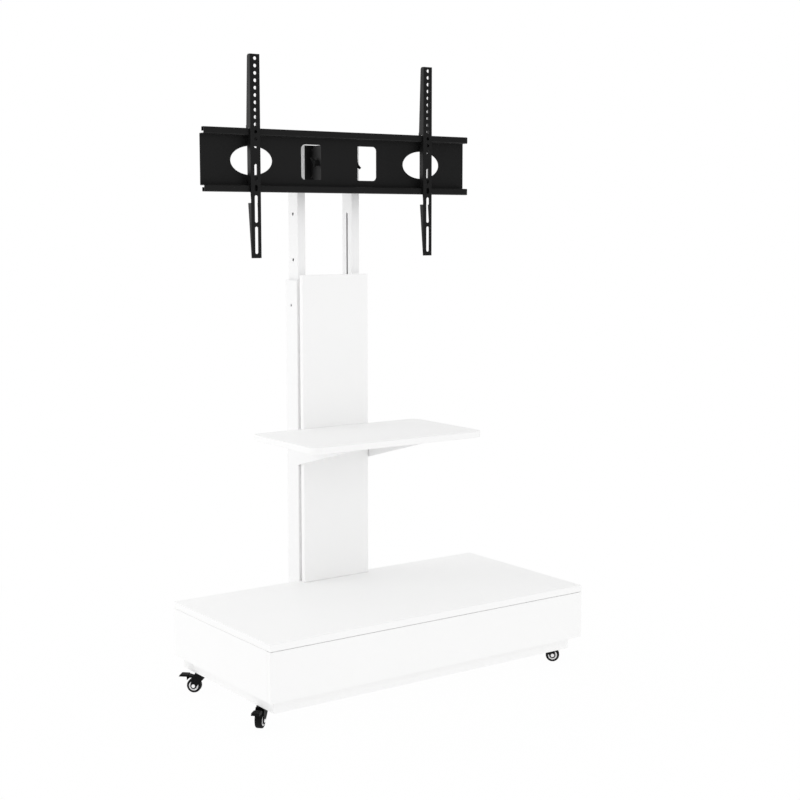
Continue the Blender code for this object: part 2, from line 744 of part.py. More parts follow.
def build_outer_tubes(white, grey, pale):
    """The two fixed tubes, each with a guide collar, a lock screw and a guide screw."""
    panel_back = PANEL_FRONT + PANEL_THICK
    panel_low = LID_TOP + SEAT
    collar_top = OUTER_TUBE_TOP - COLLAR_SINK
    size = (OUTER_TUBE_WIDTH, OUTER_TUBE_DEPTH)
    wall = Vector((TUBE_WALL + SEAT, TUBE_WALL + SEAT))
    for name, side in (("left", -1), ("right", 1)):
        middle = Vector((side * COLUMN_X, TUBE_MIDDLE))
        outside = side * OUTER_FACE_X
        inside = side * (COLUMN_X - OUTER_TUBE_WIDTH / 2)
        body, bore = tube_shapes(middle, size, OUTER_TUBE_BOTTOM, OUTER_TUBE_TOP)
        bosses = []
        for share in BOSS_SHARES:
            z = panel_low + share * (PANEL_TOP - panel_low)
            ends = (panel_back + SEAT, TUBE_FRONT + TUBE_WALL / 2)
            bosses.append(((middle.x, 0.0, z), "Y", *ends, BOSS_RADIUS))
        holes = []
        through = sorted((outside + side * OVERRUN, outside - side * OVERRUN))
        holes.append(((0.0, TUBE_MIDDLE, LOCK_Z), "X", *through, LOCK_SCREW_RADIUS + SEAT))
        through = sorted((inside + side * OVERRUN, inside - side * OVERRUN))
        holes.append(((0.0, TUBE_MIDDLE, LOCK_Z), "X", *through, GUIDE_SCREW_RADIUS + SEAT))
        for share in ACCESS_SHARES:
            z = BOX_BOTTOM + share * BOX_HEIGHT
            holes.append(((middle.x, 0.0, z), "Y", TUBE_BACK - OVERRUN, TUBE_BACK + OVERRUN, ACCESS_RADIUS))
        hollow = prism_mesh(bore, "Z", OUTER_TUBE_BOTTOM + TUBE_WALL, OUTER_TUBE_TOP + OVERRUN)
        tube = join(cut(body, hollow), rods_mesh(bosses))
        place("outer_tube_" + name, cut(tube, rods_mesh(holes)), white)

        reach = Vector(size) / 2 - wall
        outline = rectangle(middle - reach, middle + reach, TUBE_ROUND, 2)
        ring = prism_mesh(outline, "Z", collar_top - COLLAR_HEIGHT, collar_top)
        reach = Vector((INNER_TUBE_WIDTH / 2 + SEAT, INNER_TUBE_DEPTH / 2 + SEAT))
        passage = block_mesh(
            (*(middle - reach), collar_top - COLLAR_HEIGHT - OVERRUN),
            (*(middle + reach), collar_top + OVERRUN),
        )
        place("guide_collar_" + name, cut(ring, passage), pale)

        centre = (0.0, TUBE_MIDDLE, LOCK_Z)
        ends = sorted((outside - side * SEAT, side * (COLUMN_X + INNER_TUBE_WIDTH / 2 + SEAT)))
        screw = rods_mesh([(centre, "X", *ends, LOCK_SCREW_RADIUS)])
        ends = sorted((outside + side * OVERRUN, outside - side * (SEAT + LOCK_SOCKET_DEPTH)))
        socket = rods_mesh([(centre, "X", *ends, LOCK_SOCKET_RADIUS, 6)])
        place("lock_screw_" + name, cut(screw, socket), grey, smooth=True)

        head_face = inside - side * SEAT
        head_end = head_face - side * GUIDE_SCREW_HEAD_HEIGHT
        head = rods_mesh([(centre, "X", *sorted((head_face, head_end)), GUIDE_SCREW_HEAD_RADIUS)])
        ends = sorted(((head_face + head_end) / 2, inside + side * GUIDE_SCREW_REACH))
        shank = rods_mesh([(centre, "X", *ends, GUIDE_SCREW_RADIUS)])
        place("guide_screw_" + name, join(head, shank), grey, smooth=True)


def build_panel(white):
    """Cover panel in front of the tubes, standing on the lid."""
    low = (-PANEL_HALF_WIDTH, PANEL_FRONT, LID_TOP + SEAT)
    panel = block_mesh(low, (PANEL_HALF_WIDTH, PANEL_FRONT + PANEL_THICK, PANEL_TOP))
    place("column_panel", panel, white, bevel=BOARD_EDGE_ROUND)


def build_shelf(white, steel):
    """Shelf board with rounded corners on two tapered brackets."""
    back = PANEL_FRONT - SHELF_BACK_GAP
    front = back - SHELF_DEPTH
    half = SHELF_WIDTH / 2
    outline = rectangle((-half, front), (half, back), SHELF_CORNER_ROUND, 6)
    place("shelf", prism_mesh(outline, "Z", SHELF_BOTTOM, SHELF_TOP), white, bevel=SHELF_EDGE_ROUND)
    top = SHELF_BOTTOM - SEAT
    tip = TUBE_FRONT - BRACKET_REACH
    foot = TUBE_BACK - BRACKET_BACK_INSET
    outline = [
        (tip, top),
        (tip, top - BRACKET_TIP_HEIGHT),
        (TUBE_FRONT, top - BRACKET_HEIGHT),
        (foot, top - BRACKET_HEIGHT),
        (foot, top),
    ]
    for name, side in (("left", -1), ("right", 1)):
        inner = side * (OUTER_FACE_X + SEAT)
        outer = inner + side * BRACKET_THICK
        wall = prism_mesh(outline, "X", *sorted((inner, outer)))
        across = sorted((outer, outer - side * BRACKET_FLANGE))
        flange = block_mesh((across[0], tip, top - BRACKET_THICK), (across[1], back, top))
        place("shelf_bracket_" + name, join(wall, flange), steel)


def build_mast(white, black):
    """The two sliding tubes, their end caps, and the yoke that joins them at the top."""
    travel = LOCK_STEPS * LOCK_PITCH
    size = (INNER_TUBE_WIDTH, INNER_TUBE_DEPTH)
    wall = Vector((TUBE_WALL + SEAT, TUBE_WALL + SEAT))
    for name, side in (("left", -1), ("right", 1)):
        middle = Vector((side * COLUMN_X, TUBE_MIDDLE))
        outside = side * (COLUMN_X + INNER_TUBE_WIDTH / 2)
        inside = side * INNER_FACE_X
        body, bore = tube_shapes(middle, size, INNER_TUBE_BOTTOM, INNER_TUBE_TOP)
        hollow = prism_mesh(bore, "Z", INNER_TUBE_BOTTOM - OVERRUN, INNER_TUBE_TOP + OVERRUN)
        through = sorted((outside + side * OVERRUN, outside - side * OVERRUN))
        holes = []
        for step in range(LOCK_STEPS + 1):
            z = LOCK_Z + step * LOCK_PITCH
            holes.append(((0.0, TUBE_MIDDLE, z), "X", *through, LOCK_HOLE_RADIUS))
        through = sorted((inside + side * OVERRUN, inside - side * OVERRUN))
        half_length = travel / 2 + GUIDE_SLOT_HALF_WIDTH
        slot = stadium((TUBE_MIDDLE, LOCK_Z + travel / 2), GUIDE_SLOT_HALF_WIDTH, half_length)
        tube = cut(body, hollow, rods_mesh(holes), prism_mesh(slot, "X", *through))
        place("inner_tube_" + name, tube, white)

        reach = Vector(size) / 2
        seat = INNER_TUBE_TOP + SEAT
        outline = rectangle(middle - reach, middle + reach, TUBE_ROUND, 2)
        cap = prism_mesh(outline, "Z", seat, seat + CAP_THICK)
        reach -= wall
        plug = block_mesh(
            (*(middle - reach), INNER_TUBE_TOP - CAP_PLUG), (*(middle + reach), seat + CAP_THICK / 2)
        )
        place("inner_cap_" + name, join(cap, plug), black)
    place("tilt_yoke", yoke_mesh(), black)


def yoke_mesh():
    """Cross plate between the tubes, with two flanges along them and two forward ears for the tilt bolt."""
    half = INNER_FACE_X - SEAT
    low = PLATE_CENTRE_Z - YOKE_HEIGHT / 2
    high = PLATE_CENTRE_Z + YOKE_HEIGHT / 2
    front = INNER_FRONT
    back = INNER_FRONT + YOKE_FLANGE
    channel = [
        (-half, front),
        (half, front),
        (half, back),
        (half - YOKE_SHEET, back),
        (half - YOKE_SHEET, front + YOKE_SHEET),
        (YOKE_SHEET - half, front + YOKE_SHEET),
        (YOKE_SHEET - half, back),
        (-half, back),
    ]
    flare = YOKE_HEIGHT * YOKE_EAR_ROOT_SHARE / 2
    root = front + YOKE_SHEET / 2
    outline = arc((PIVOT.y, PIVOT.z), YOKE_EAR_RADIUS, 90, 270, 8)
    outline += [(root, PLATE_CENTRE_Z - flare), (root, PLATE_CENTRE_Z + flare)]
    ears = []
    holes = []
    for side in (-1, 1):
        outer = side * (TONGUE_HALF_WIDTH - SHEET - SEAT)
        across = sorted((outer, outer - side * YOKE_SHEET))
        ears.append(prism_mesh(outline, "X", *across))
        through = sorted((outer + side * OVERRUN, outer - side * (YOKE_SHEET + OVERRUN)))
        holes.append(((0.0, PIVOT.y, PIVOT.z), "X", *through, PIVOT_HOLE_RADIUS))
    return cut(join(prism_mesh(channel, "Z", low, high), *ears), rods_mesh(holes))


def build_wall_plate(black):
    """The pressed plate: a rail along its top and bottom, two ovals, a window and two ears bent back."""
    half = PLATE_WIDTH / 2
    rise = PLATE_HEIGHT / 2
    shelf_rise = rise - RAIL_HEIGHT
    lip = RAIL_FACE + RAIL_RETURN
    upper_front = [
        (PLATE_FRONT, shelf_rise),
        (RAIL_FACE, shelf_rise),
        (RAIL_FACE, rise),
        (lip, rise),
        (lip, rise - RAIL_LIP),
    ]
    upper_back = [
        (lip - SHEET, rise - RAIL_LIP),
        (lip - SHEET, rise - SHEET),
        (RAIL_FACE + SHEET, rise - SHEET),
        (RAIL_FACE + SHEET, shelf_rise + SHEET),
        (PLATE_FRONT + SHEET, shelf_rise + SHEET),
    ]
    upper = upper_front + upper_back
    lower = [(y, -z) for y, z in reversed(upper)]
    outline = [(y, PLATE_CENTRE_Z + z) for y, z in upper + lower]
    body = prism_mesh(outline, "X", -half, half)
    near = PLATE_FRONT - OVERRUN
    far = PLATE_FRONT + SHEET + OVERRUN
    openings = bmesh.new()
    window_half = WINDOW_WIDTH / 2
    window_rise = WINDOW_HEIGHT / 2
    for side in (-1, 1):
        oval = []
        for point in range(2 * FINE):
            angle = math.pi * point / FINE
            x = side * OVAL_X + math.cos(angle) * OVAL_WIDTH / 2
            oval.append((x, PLATE_CENTRE_Z + math.sin(angle) * OVAL_HEIGHT / 2))
        add_prism(openings, oval, "Y", near, far)
        corners = [
            (side * TONGUE_HALF_WIDTH, PLATE_CENTRE_Z - window_rise),
            (side * window_half, PLATE_CENTRE_Z - window_rise),
            (side * window_half, PLATE_CENTRE_Z + window_rise),
            (side * TONGUE_HALF_WIDTH, PLATE_CENTRE_Z + window_rise),
        ]
        add_prism(openings, rounded(corners, [0.0, WINDOW_ROUND, WINDOW_ROUND, 0.0]), "Y", near, far)
    body = cut(body, to_mesh(openings))
    ears = []
    for side in (-1, 1):
        across = sorted((side * TONGUE_HALF_WIDTH, side * (TONGUE_HALF_WIDTH - SHEET)))
        outline = rounded(
            [
                (PLATE_FRONT + SHEET / 2, PLATE_CENTRE_Z - EAR_HEIGHT / 2),
                (PLATE_FRONT + EAR_REACH, PLATE_CENTRE_Z - EAR_HEIGHT / 2),
                (PLATE_FRONT + EAR_REACH, PLATE_CENTRE_Z + EAR_HEIGHT / 2),
                (PLATE_FRONT + SHEET / 2, PLATE_CENTRE_Z + EAR_HEIGHT / 2),
            ],
            [0.0, EAR_ROUND, EAR_ROUND, 0.0],
        )
        ears.append(prism_mesh(outline, "X", *across))
    body = join(body, *ears)
    reach = TONGUE_HALF_WIDTH + OVERRUN
    bore = rods_mesh([((0.0, PIVOT.y, PIVOT.z), "X", -reach, reach, TILT_BOLT_RADIUS + SEAT)])
    place("wall_plate", cut(body, bore), black)


def knob_mesh(side):
    """Wing knob with a washer face, a boss and two flared wings, about the tilt bolt's axis."""
    start = TONGUE_HALF_WIDTH + SEAT
    washer_end = start + KNOB_WASHER_THICK
    boss_end = start + KNOB_BOSS_LENGTH
    centre = (0.0, 0.0, 0.0)
    washer = rods_mesh([(centre, "X", *sorted((side * start, side * washer_end)), KNOB_WASHER_RADIUS)])
    inner = side * (washer_end - KNOB_WASHER_THICK / 2)
    boss = rods_mesh([(centre, "X", *sorted((inner, side * boss_end)), KNOB_BOSS_RADIUS)])
    half = KNOB_WING_SPAN / 2
    tip = start + KNOB_WING_REACH
    root = start + KNOB_WING_ROOT
    wing = [
        (side * root, -KNOB_BOSS_RADIUS / 2),
        (side * (tip - KNOB_WING_ROOT), -half),
        (side * tip, -half),
        (side * boss_end, 0.0),
        (side * tip, half),
        (side * (tip - KNOB_WING_ROOT), half),
        (side * root, KNOB_BOSS_RADIUS / 2),
    ]
    bm = bmesh.new()
    add_prism(bm, wing, "Y", -KNOB_WING_THICK / 2, KNOB_WING_THICK / 2)
    bmesh.ops.rotate(bm, cent=centre, matrix=Matrix.Rotation(math.radians(KNOB_TURN), 3, "X"), verts=bm.verts)
    wings = to_mesh(bm)
    body = join(washer, boss, wings)
    blind = sorted((side * (start - OVERRUN), side * (start + TILT_BOLT_END + SEAT)))
    return cut(body, rods_mesh([(centre, "X", *blind, TILT_BOLT_RADIUS + SEAT)]))


def build_head(black, grey):
    """Wall plate, tilt bolt and the two wing knobs that clamp it."""
    build_wall_plate(black)
    reach = TONGUE_HALF_WIDTH + TILT_BOLT_END
    bolt = rods_mesh([((0.0, 0.0, 0.0), "X", -reach, reach, TILT_BOLT_RADIUS)])
    place("tilt_bolt", bolt, grey, location=PIVOT, smooth=True)
    for name, side in (("wing_knob_left", -1), ("wing_knob_right", 1)):
        place(name, knob_mesh(side), black, location=PIVOT)


def arm_flange_outline():
    """Side view of an arm's flange: notches over both rails, with a finger that hooks behind each rail."""
    web = ARM_FACE
    rail_top = PLATE_CENTRE_Z + PLATE_HEIGHT / 2
    rail_bottom = PLATE_CENTRE_Z - PLATE_HEIGHT / 2
    notch = RAIL_FACE - ARM_RAIL_GAP
    finger_front = RAIL_FACE + RAIL_RETURN + ARM_RAIL_GAP
    finger_back = finger_front + ARM_HOOK_FINGER
    hook = rail_top + ARM_RAIL_GAP
    lower_hook = rail_bottom - ARM_RAIL_GAP
    inner_top = rail_top - RAIL_HEIGHT - ARM_RAIL_GAP
    inner_bottom = rail_bottom + RAIL_HEIGHT + ARM_RAIL_GAP
    bare = rail_bottom - ARM_BARE_LENGTH
    return rounded(
        [
            (web, ARM_BOTTOM),
            (web, ARM_TOP),
            (web + ARM_TOP_FLANGE, ARM_TOP),
            (web + ARM_HOOK_FLANGE, hook + ARM_HOOK_DROP),
            (finger_back, hook + ARM_HOOK_DROP),
            (finger_back, rail_top - ARM_HOOK_DROP),
            (finger_front, rail_top - ARM_HOOK_DROP),
            (finger_front, hook),
            (notch, hook),
            (notch, inner_top),
            (web + ARM_MIDDLE_FLANGE, inner_top),
            (web + ARM_MIDDLE_FLANGE, inner_bottom),
            (notch, inner_bottom),
            (notch, lower_hook),
            (web + ARM_SHEET, lower_hook),
            (web + ARM_SHEET, bare),
            (web + ARM_LOWER_FLANGE, bare),
            (web + ARM_FOOT_FLANGE, ARM_BOTTOM),
        ],
        [0.0, 0.0, ARM_CORNER] + [0.0] * 15,
    )


def arm_mesh(side):
    """Slotted channel that carries one side of the screen and hangs on both rails."""
    centre = side * ARM_X
    half = ARM_WIDTH / 2
    outline = arm_flange_outline()
    body = prism_mesh(outline, "X", centre - half, centre + half)
    reach = half - ARM_SHEET
    core = block_mesh(
        (centre - reach, ARM_FACE + ARM_SHEET, ARM_BOTTOM - OVERRUN),
        (centre + reach, PLATE_FRONT, ARM_TOP + OVERRUN),
    )
    holes = bmesh.new()
    near = ARM_FACE - OVERRUN
    far = ARM_FACE + ARM_SHEET + OVERRUN
    for step in range(ARM_HOLE_COUNT):
        z = ARM_TOP - ARM_HOLE_TOP - step * ARM_HOLE_PITCH
        add_rod(holes, (centre, 0.0, z), "Y", near, far, ARM_HOLE_RADIUS, COARSE)
    z = ARM_BOTTOM + ARM_SLOT_FOOT
    for length in (ARM_SLOT_LENGTH, ARM_SLOT_LENGTH, ARM_SHORT_SLOT_LENGTH, ARM_UPPER_SLOT_LENGTH):
        outline = stadium((centre, z + length / 2), ARM_HOLE_RADIUS, length / 2, 5)
        add_prism(holes, outline, "Y", near, far)
        z += length + ARM_SLOT_GAP
    return cut(body, core, to_mesh(holes))


def build_arms(black):
    """The two arms, which slide along the rails."""
    for name, side in (("arm_left", -1), ("arm_right", 1)):
        place(name, arm_mesh(side), black)


def main():
    """Build the whole stand."""
    clear_scene()
    white = paint("white_board", (0.90, 0.90, 0.89), 0.45)
    steel_white = paint("white_steel", (0.88, 0.88, 0.88), 0.35)
    steel_black = paint("black_steel", (0.018, 0.018, 0.019), 0.45)
    black = paint("black_plastic", (0.022, 0.022, 0.023), 0.5)
    rubber = paint("black_tyre", (0.015, 0.015, 0.015), 0.7)
    pale = paint("pale_plastic", (0.75, 0.75, 0.76), 0.4)
    zinc = paint("zinc_steel", (0.55, 0.56, 0.57), 0.35, 0.9)
    build_base(white)
    build_plinth(white)
    build_castors(steel_black, black, rubber, pale)
    build_drawer(white, zinc)
    build_outer_tubes(steel_white, zinc, pale)
    build_panel(white)
    build_shelf(white, steel_white)
    build_mast(steel_white, steel_black)
    build_head(steel_black, zinc)
    build_arms(steel_black)


main()
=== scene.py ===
"""Dresses a mobile television stand: white boards and tubes, a black tilting head, and four locking castors."""

import math

import bmesh
import bpy
from bpy.props import FloatProperty, FloatVectorProperty, IntProperty, PointerProperty
from bpy.types import Operator, Panel, PropertyGroup
from mathutils import Matrix, Vector


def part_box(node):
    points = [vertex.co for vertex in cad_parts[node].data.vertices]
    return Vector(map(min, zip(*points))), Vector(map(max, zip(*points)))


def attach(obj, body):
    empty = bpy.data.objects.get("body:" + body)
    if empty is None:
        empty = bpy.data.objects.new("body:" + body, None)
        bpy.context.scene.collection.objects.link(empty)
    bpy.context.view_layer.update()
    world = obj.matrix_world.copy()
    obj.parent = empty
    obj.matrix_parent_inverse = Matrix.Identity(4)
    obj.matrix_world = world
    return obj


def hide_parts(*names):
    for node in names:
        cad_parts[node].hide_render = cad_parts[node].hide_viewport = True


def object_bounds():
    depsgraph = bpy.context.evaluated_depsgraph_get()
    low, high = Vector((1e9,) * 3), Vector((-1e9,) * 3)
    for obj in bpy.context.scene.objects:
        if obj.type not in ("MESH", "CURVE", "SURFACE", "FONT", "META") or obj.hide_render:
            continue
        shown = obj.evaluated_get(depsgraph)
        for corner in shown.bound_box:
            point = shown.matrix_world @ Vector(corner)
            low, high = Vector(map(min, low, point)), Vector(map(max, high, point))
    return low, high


bl_info = {
    "name": "Television Stand",
    "version": (1, 0, 0),
    "blender": (4, 5, 0),
    "location": "View3D > Sidebar > Stand",
    "description": "Builds the boards, tubes, head, arms and castors of a mobile television stand",
    "category": "Add Mesh",
}

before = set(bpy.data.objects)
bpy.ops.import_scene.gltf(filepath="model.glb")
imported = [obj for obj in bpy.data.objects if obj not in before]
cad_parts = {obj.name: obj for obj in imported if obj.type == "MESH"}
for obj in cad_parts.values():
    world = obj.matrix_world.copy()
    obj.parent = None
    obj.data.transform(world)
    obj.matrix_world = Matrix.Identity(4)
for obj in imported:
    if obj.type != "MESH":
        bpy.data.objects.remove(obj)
cad_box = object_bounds()

SIDES = (("left", -1), ("right", 1))
CASTORS = ("front_left", "front_right", "back_left", "back_right")
SEAT = 0.0003
OVERRUN = 0.004
TURN_TO = {
    "X": Matrix.Rotation(math.pi / 2, 4, "Y"),
    "Y": Matrix.Rotation(-math.pi / 2, 4, "X"),
    "Z": Matrix.Identity(4),
}

# Blocks in the plinth
BLOCK_WIDTH = 0.024
BLOCK_LENGTH = 0.070
STEM_RADIUS = 0.004
STEM_LENGTH = 0.0203

# Column
LOCK_CLEAR_RADIUS = 0.0044
SOCKET_DEPTH = 0.003
ACCESS_SHARES = (0.22, 0.78)
BOSS_SHARES = (0.08, 0.40, 0.85)
BOLT_RADIUS = 0.0068
BOLT_HEIGHT = 0.0042

# Shelf
BRACKET_TIP = 0.004
BRACKET_BOLT_INSET = 0.015
BRACKET_BOLT_DROP = 0.022
SHELF_SCREW_SHARES = (0.35, 0.75)

# Yoke
YOKE_SHEET = 0.0027
YOKE_ROOT_SHARE = 0.84
YOKE_BOLT_BACK = 0.0135

# Head and knobs
EAR_HEIGHT = 0.0926
KNOB_WASHER = 0.0015
KNOB_BOSS = 0.0112
KNOB_BOSS_RADIUS = 0.0078
KNOB_REACH = 0.0170
KNOB_SPAN = 0.032
KNOB_THICK = 0.0065
KNOB_TURN = -34.0

# Arms
ARM_SHEET = 0.0018
ARM_TOP_FLANGE = 0.0150
ARM_HOOK_FLANGE = 0.0225
ARM_MIDDLE_FLANGE = 0.0195
ARM_LOWER_FLANGE = 0.0175
ARM_FOOT_FLANGE = 0.0030
ARM_BARE_LENGTH = 0.028
ARM_RAIL_GAP = 0.0005
ARM_HOOK_DROP = 0.0075
ARM_HOLE_TOP = 0.0110
ARM_SLOTS = (0.0714, 0.0714, 0.0170, 0.0433)
ARM_SLOT_GAP = 0.0100
ARM_SLOT_FOOT = 0.0108

# Floor
FLOOR_RADIUS = 6.0
FLOOR_WHITE = 0.97
FLOOR_GLOW_SHARE = 0.85
BACKDROP_WAY = (-0.58, 0.81, 0.0)
ROOM_FRONT_SHARE = 0.2

# Castors
CASTOR_TOP = 0.0527
CAP_RADIUS = 0.0138
CAP_THICK = 0.0008
RACE_RADIUS = 0.0092
RACE_HEIGHT = 0.0008
RUNNING_GAP = 0.0004
CROWN_THICK = 0.0022
CHEEK_INNER = 0.0097
CHEEK_THICK = 0.0024
PEDAL_PIVOT = (0.0105, 0.0427)
PEDAL_REACH = 0.056
PEDAL_TIP_THICK = 0.006
PEDAL_HALF_WIDTH = 0.0105
BRAKE_GAP = 0.004


# Sizes and colours that a user would change


def length(name, description, default):
    """A length property, in metres."""
    return FloatProperty(name=name, description=description, default=default, min=0.0, unit="LENGTH", precision=4)


def colour(name, description, default):
    """A colour property."""
    return FloatVectorProperty(
        name=name, description=description, default=default, subtype="COLOR", size=3, min=0.0, max=1.0
    )


def share(name, description, default):
    """A number from 0 to 1."""
    return FloatProperty(name=name, description=description, default=default, min=0.0, max=1.0, subtype="FACTOR")


class StandBoardSettings(PropertyGroup):
    """Laminated boards of the base, the drawer, the cover panel and the shelf."""

    lid_round: length("Lid Edge", "Radius along the lid's edges", 0.0010)
    board_round: length("Board Edge", "Radius along the other boards' edges", 0.0004)
    shelf_round: length("Shelf Edge", "Radius along the shelf's edges", 0.0014)
    shelf_corner: length("Shelf Corner", "Radius of the shelf's corners, seen from above", 0.0275)
    runner_sheet: length("Runner Sheet", "Thickness of the drawer runners' steel", 0.0012)
    tint: colour("Laminate", "Colour of the white laminate", (0.945, 0.945, 0.943))
    gloss: share("Laminate Roughness", "Roughness of the white laminate", 0.42)


class StandTubeSettings(PropertyGroup):
    """Steel tubes of the column and the mast, and the shelf's brackets."""

    wall: length("Wall", "Wall of each tube", 0.0015)
    tube_round: length("Tube Edge", "Outer radius along each tube's edges", 0.0025)
    boss_radius: length("Boss Radius", "Radius of the bosses behind the cover panel", 0.008)
    access_radius: length("Access Radius", "Radius of the holes behind the base's bolts", 0.008)
    guide_radius: length("Guide Radius", "Radius of the guide screw's hole", 0.0033)
    lock_radius: length("Lock Radius", "Radius of the height holes in the mast", 0.0045)
    slot_radius: length("Slot Radius", "Half the width of the slots in the mast", 0.0036)
    lock_pitch: length("Lock Pitch", "Distance between two heights", 0.125)
    sheet: length("Bracket Sheet", "Thickness of the shelf's brackets", 0.002)
    tint: colour("White Steel", "Colour of the white powder coat", (0.922, 0.922, 0.922))


class StandHeadSettings(PropertyGroup):
    """Wall plate, yoke, knobs and arms."""

    sheet: length("Plate Sheet", "Thickness of the wall plate", 0.002)
    rail_height: length("Rail Height", "Height of each rail", 0.018)
    rail_forward: length("Rail Forward", "How far the rails stand in front of the plate", 0.0216)
    rail_return: length("Rail Return", "Depth of each rail's top", 0.0127)
    rail_lip: length("Rail Lip", "Height of the lip behind each rail", 0.011)
    oval_place: length("Oval Place", "Distance of each oval from the middle", 0.2755)
    oval_width: length("Oval Width", "Width of each oval", 0.126)
    oval_height: length("Oval Height", "Height of each oval", 0.0755)
    window_width: length("Window Width", "Width of the middle window", 0.245)
    window_height: length("Window Height", "Height of the middle window", 0.093)
    tongue: length("Tongue", "Half width of the tongue between the window's halves", 0.0595)
    arm_hole: length("Arm Hole", "Radius of the arms' holes and slots", 0.0046)
    arm_pitch: length("Arm Pitch", "Distance between two holes of an arm", 0.01871)
    arm_count: IntProperty(name="Arm Holes", description="Round holes in each arm", default=13, min=1)
    tint: colour("Black Steel", "Colour of the black powder coat", (0.0060, 0.0060, 0.0062))
    gloss: share("Black Roughness", "Roughness of the black powder coat", 0.5)


class StandCastorSettings(PropertyGroup):
    """Castors."""

    wheel_radius: length("Wheel Radius", "Radius of the tyre", 0.019)
    wheel_width: length("Wheel Width", "Width of the tyre", 0.018)
    core_radius: length("Core Radius", "Radius of the pale core", 0.0125)
    trail: length("Trail", "Distance of the axle from the swivel's axis", 0.0157)
    black: colour("Castor Black", "Colour of the forks and pedals", (0.0075, 0.0075, 0.0077))
    # The cores' pale plastic, painted lighter than the other pale mouldings to stand in for the light that the base's
    # shade takes off them.
    pale: colour("Core Colour", "Colour of the wheels' cores", (0.93, 0.93, 0.93))
    tyre: colour("Tyre Colour", "Colour of the tyres", (0.0065, 0.0065, 0.0065))


class StandStageSettings(PropertyGroup):
    """Camera, floor and light."""

    lens: FloatProperty(name="Lens", description="Focal length in millimetres", default=65.86, min=1.0)
    eye: FloatVectorProperty(
        name="Eye", description="The camera's place", default=(-2.222, -3.20865, 1.2298), unit="LENGTH"
    )
    turn: FloatProperty(
        name="Turn", description="Camera's turn to the right of +Y", default=math.radians(35.6688), subtype="ANGLE"
    )
    dip: FloatProperty(
        name="Dip", description="Camera's tilt below the horizon", default=math.radians(6.8835), subtype="ANGLE"
    )
    sky: FloatProperty(name="Sky", description="Strength of the light from all round", default=0.965, min=0.0)
    side: FloatProperty(name="Side Light", description="Power of the lamp on the left, in watts", default=14.0, min=0.0)
    front: FloatProperty(name="Front Light", description="Power of the lamp in front, in watts", default=11.0, min=0.0)
    floor: colour("Floor", "Colour of the floor", (0.93, 0.93, 0.93))


GROUPS = {
    "stand_board": StandBoardSettings,
    "stand_tube": StandTubeSettings,
    "stand_head": StandHeadSettings,
    "stand_castor": StandCastorSettings,
    "stand_stage": StandStageSettings,
}


# Shapes


def solid(bm):
    """Finish a bmesh: its faces outward, and free it."""
    bmesh.ops.remove_doubles(bm, verts=bm.verts, dist=1e-6)
    bmesh.ops.recalc_face_normals(bm, faces=bm.faces)
    mesh = bpy.data.meshes.new("shape")
    bm.to_mesh(mesh)
    bm.free()
    return mesh


def round_off(bm, edges, radius, segments=5):
    """Round some edges of a bmesh."""
    bmesh.ops.bevel(
        bm,
        geom=edges,
        offset=radius,
        offset_type="OFFSET",
        segments=segments,
        profile=0.5,
        affect="EDGES",
        material=-1,
    )


def block(low, high, radius=0.0, along="XYZ", segments=5):
    """A box between two corners, with the edges that run along some axes rounded."""
    low = Vector(low)
    high = Vector(high)
    bm = bmesh.new()
    matrix = Matrix.Translation((low + high) / 2) @ Matrix.Diagonal((*(high - low), 1.0))
    bmesh.ops.create_cube(bm, size=1.0, matrix=matrix)
    if radius > 0.0:
        picked = []
        for edge in bm.edges:
            run = edge.verts[1].co - edge.verts[0].co
            if any(abs(run["XYZ".index(axis)]) > run.length / 2 for axis in along):
                picked.append(edge)
        round_off(bm, picked, radius, segments)
    return solid(bm)


def rod(centre, axis, ends, radius, end_radius=None, segments=32):
    """A round bar along X, Y or Z between two ends; centre gives its other two coordinates."""
    low, high = sorted(ends)
    middle = Vector(centre)
    middle["XYZ".index(axis)] = (low + high) / 2
    bm = bmesh.new()
    bmesh.ops.create_cone(
        bm,
        cap_ends=True,
        segments=segments,
        radius1=radius,
        radius2=radius if end_radius is None else end_radius,
        depth=high - low,
        matrix=Matrix.Translation(middle) @ TURN_TO[axis],
    )
    return solid(bm)


def pushed(corners, axis, ends, rounds=(), segments=6):
    """A flat outline pushed along an axis. Its corners give the other two coordinates, in X, Y, Z order.

    rounds holds pairs: a radius, and the numbers of the corners that take it.
    """
    index = "XYZ".index(axis)
    low, high = sorted(ends)
    bm = bmesh.new()
    points = []
    for pair in corners:
        place = list(pair)
        place.insert(index, low)
        points.append(bm.verts.new(place))
    bm.faces.new(points)
    for radius, numbers in rounds:
        bmesh.ops.bevel(
            bm,
            geom=[points[number] for number in numbers],
            offset=radius,
            offset_type="OFFSET",
            segments=segments,
            profile=0.5,
            affect="VERTICES",
            material=-1,
        )
    made = bmesh.ops.extrude_face_region(bm, geom=bm.faces[:])["geom"]
    step = Vector((0.0, 0.0, 0.0))
    step[index] = high - low
    bmesh.ops.translate(bm, vec=step, verts=[item for item in made if isinstance(item, bmesh.types.BMVert)])
    return solid(bm)


def slot_cutter(centre, axis, ends, half_width, half_length):
    """A cutter with round ends for a slot that stands upright."""
    across, up = centre
    corners = (
        (across - half_width, up - half_length),
        (across + half_width, up - half_length),
        (across + half_width, up + half_length),
        (across - half_width, up + half_length),
    )
    return pushed(corners, axis, ends, rounds=[(half_width * 0.998, range(4))], segments=10)


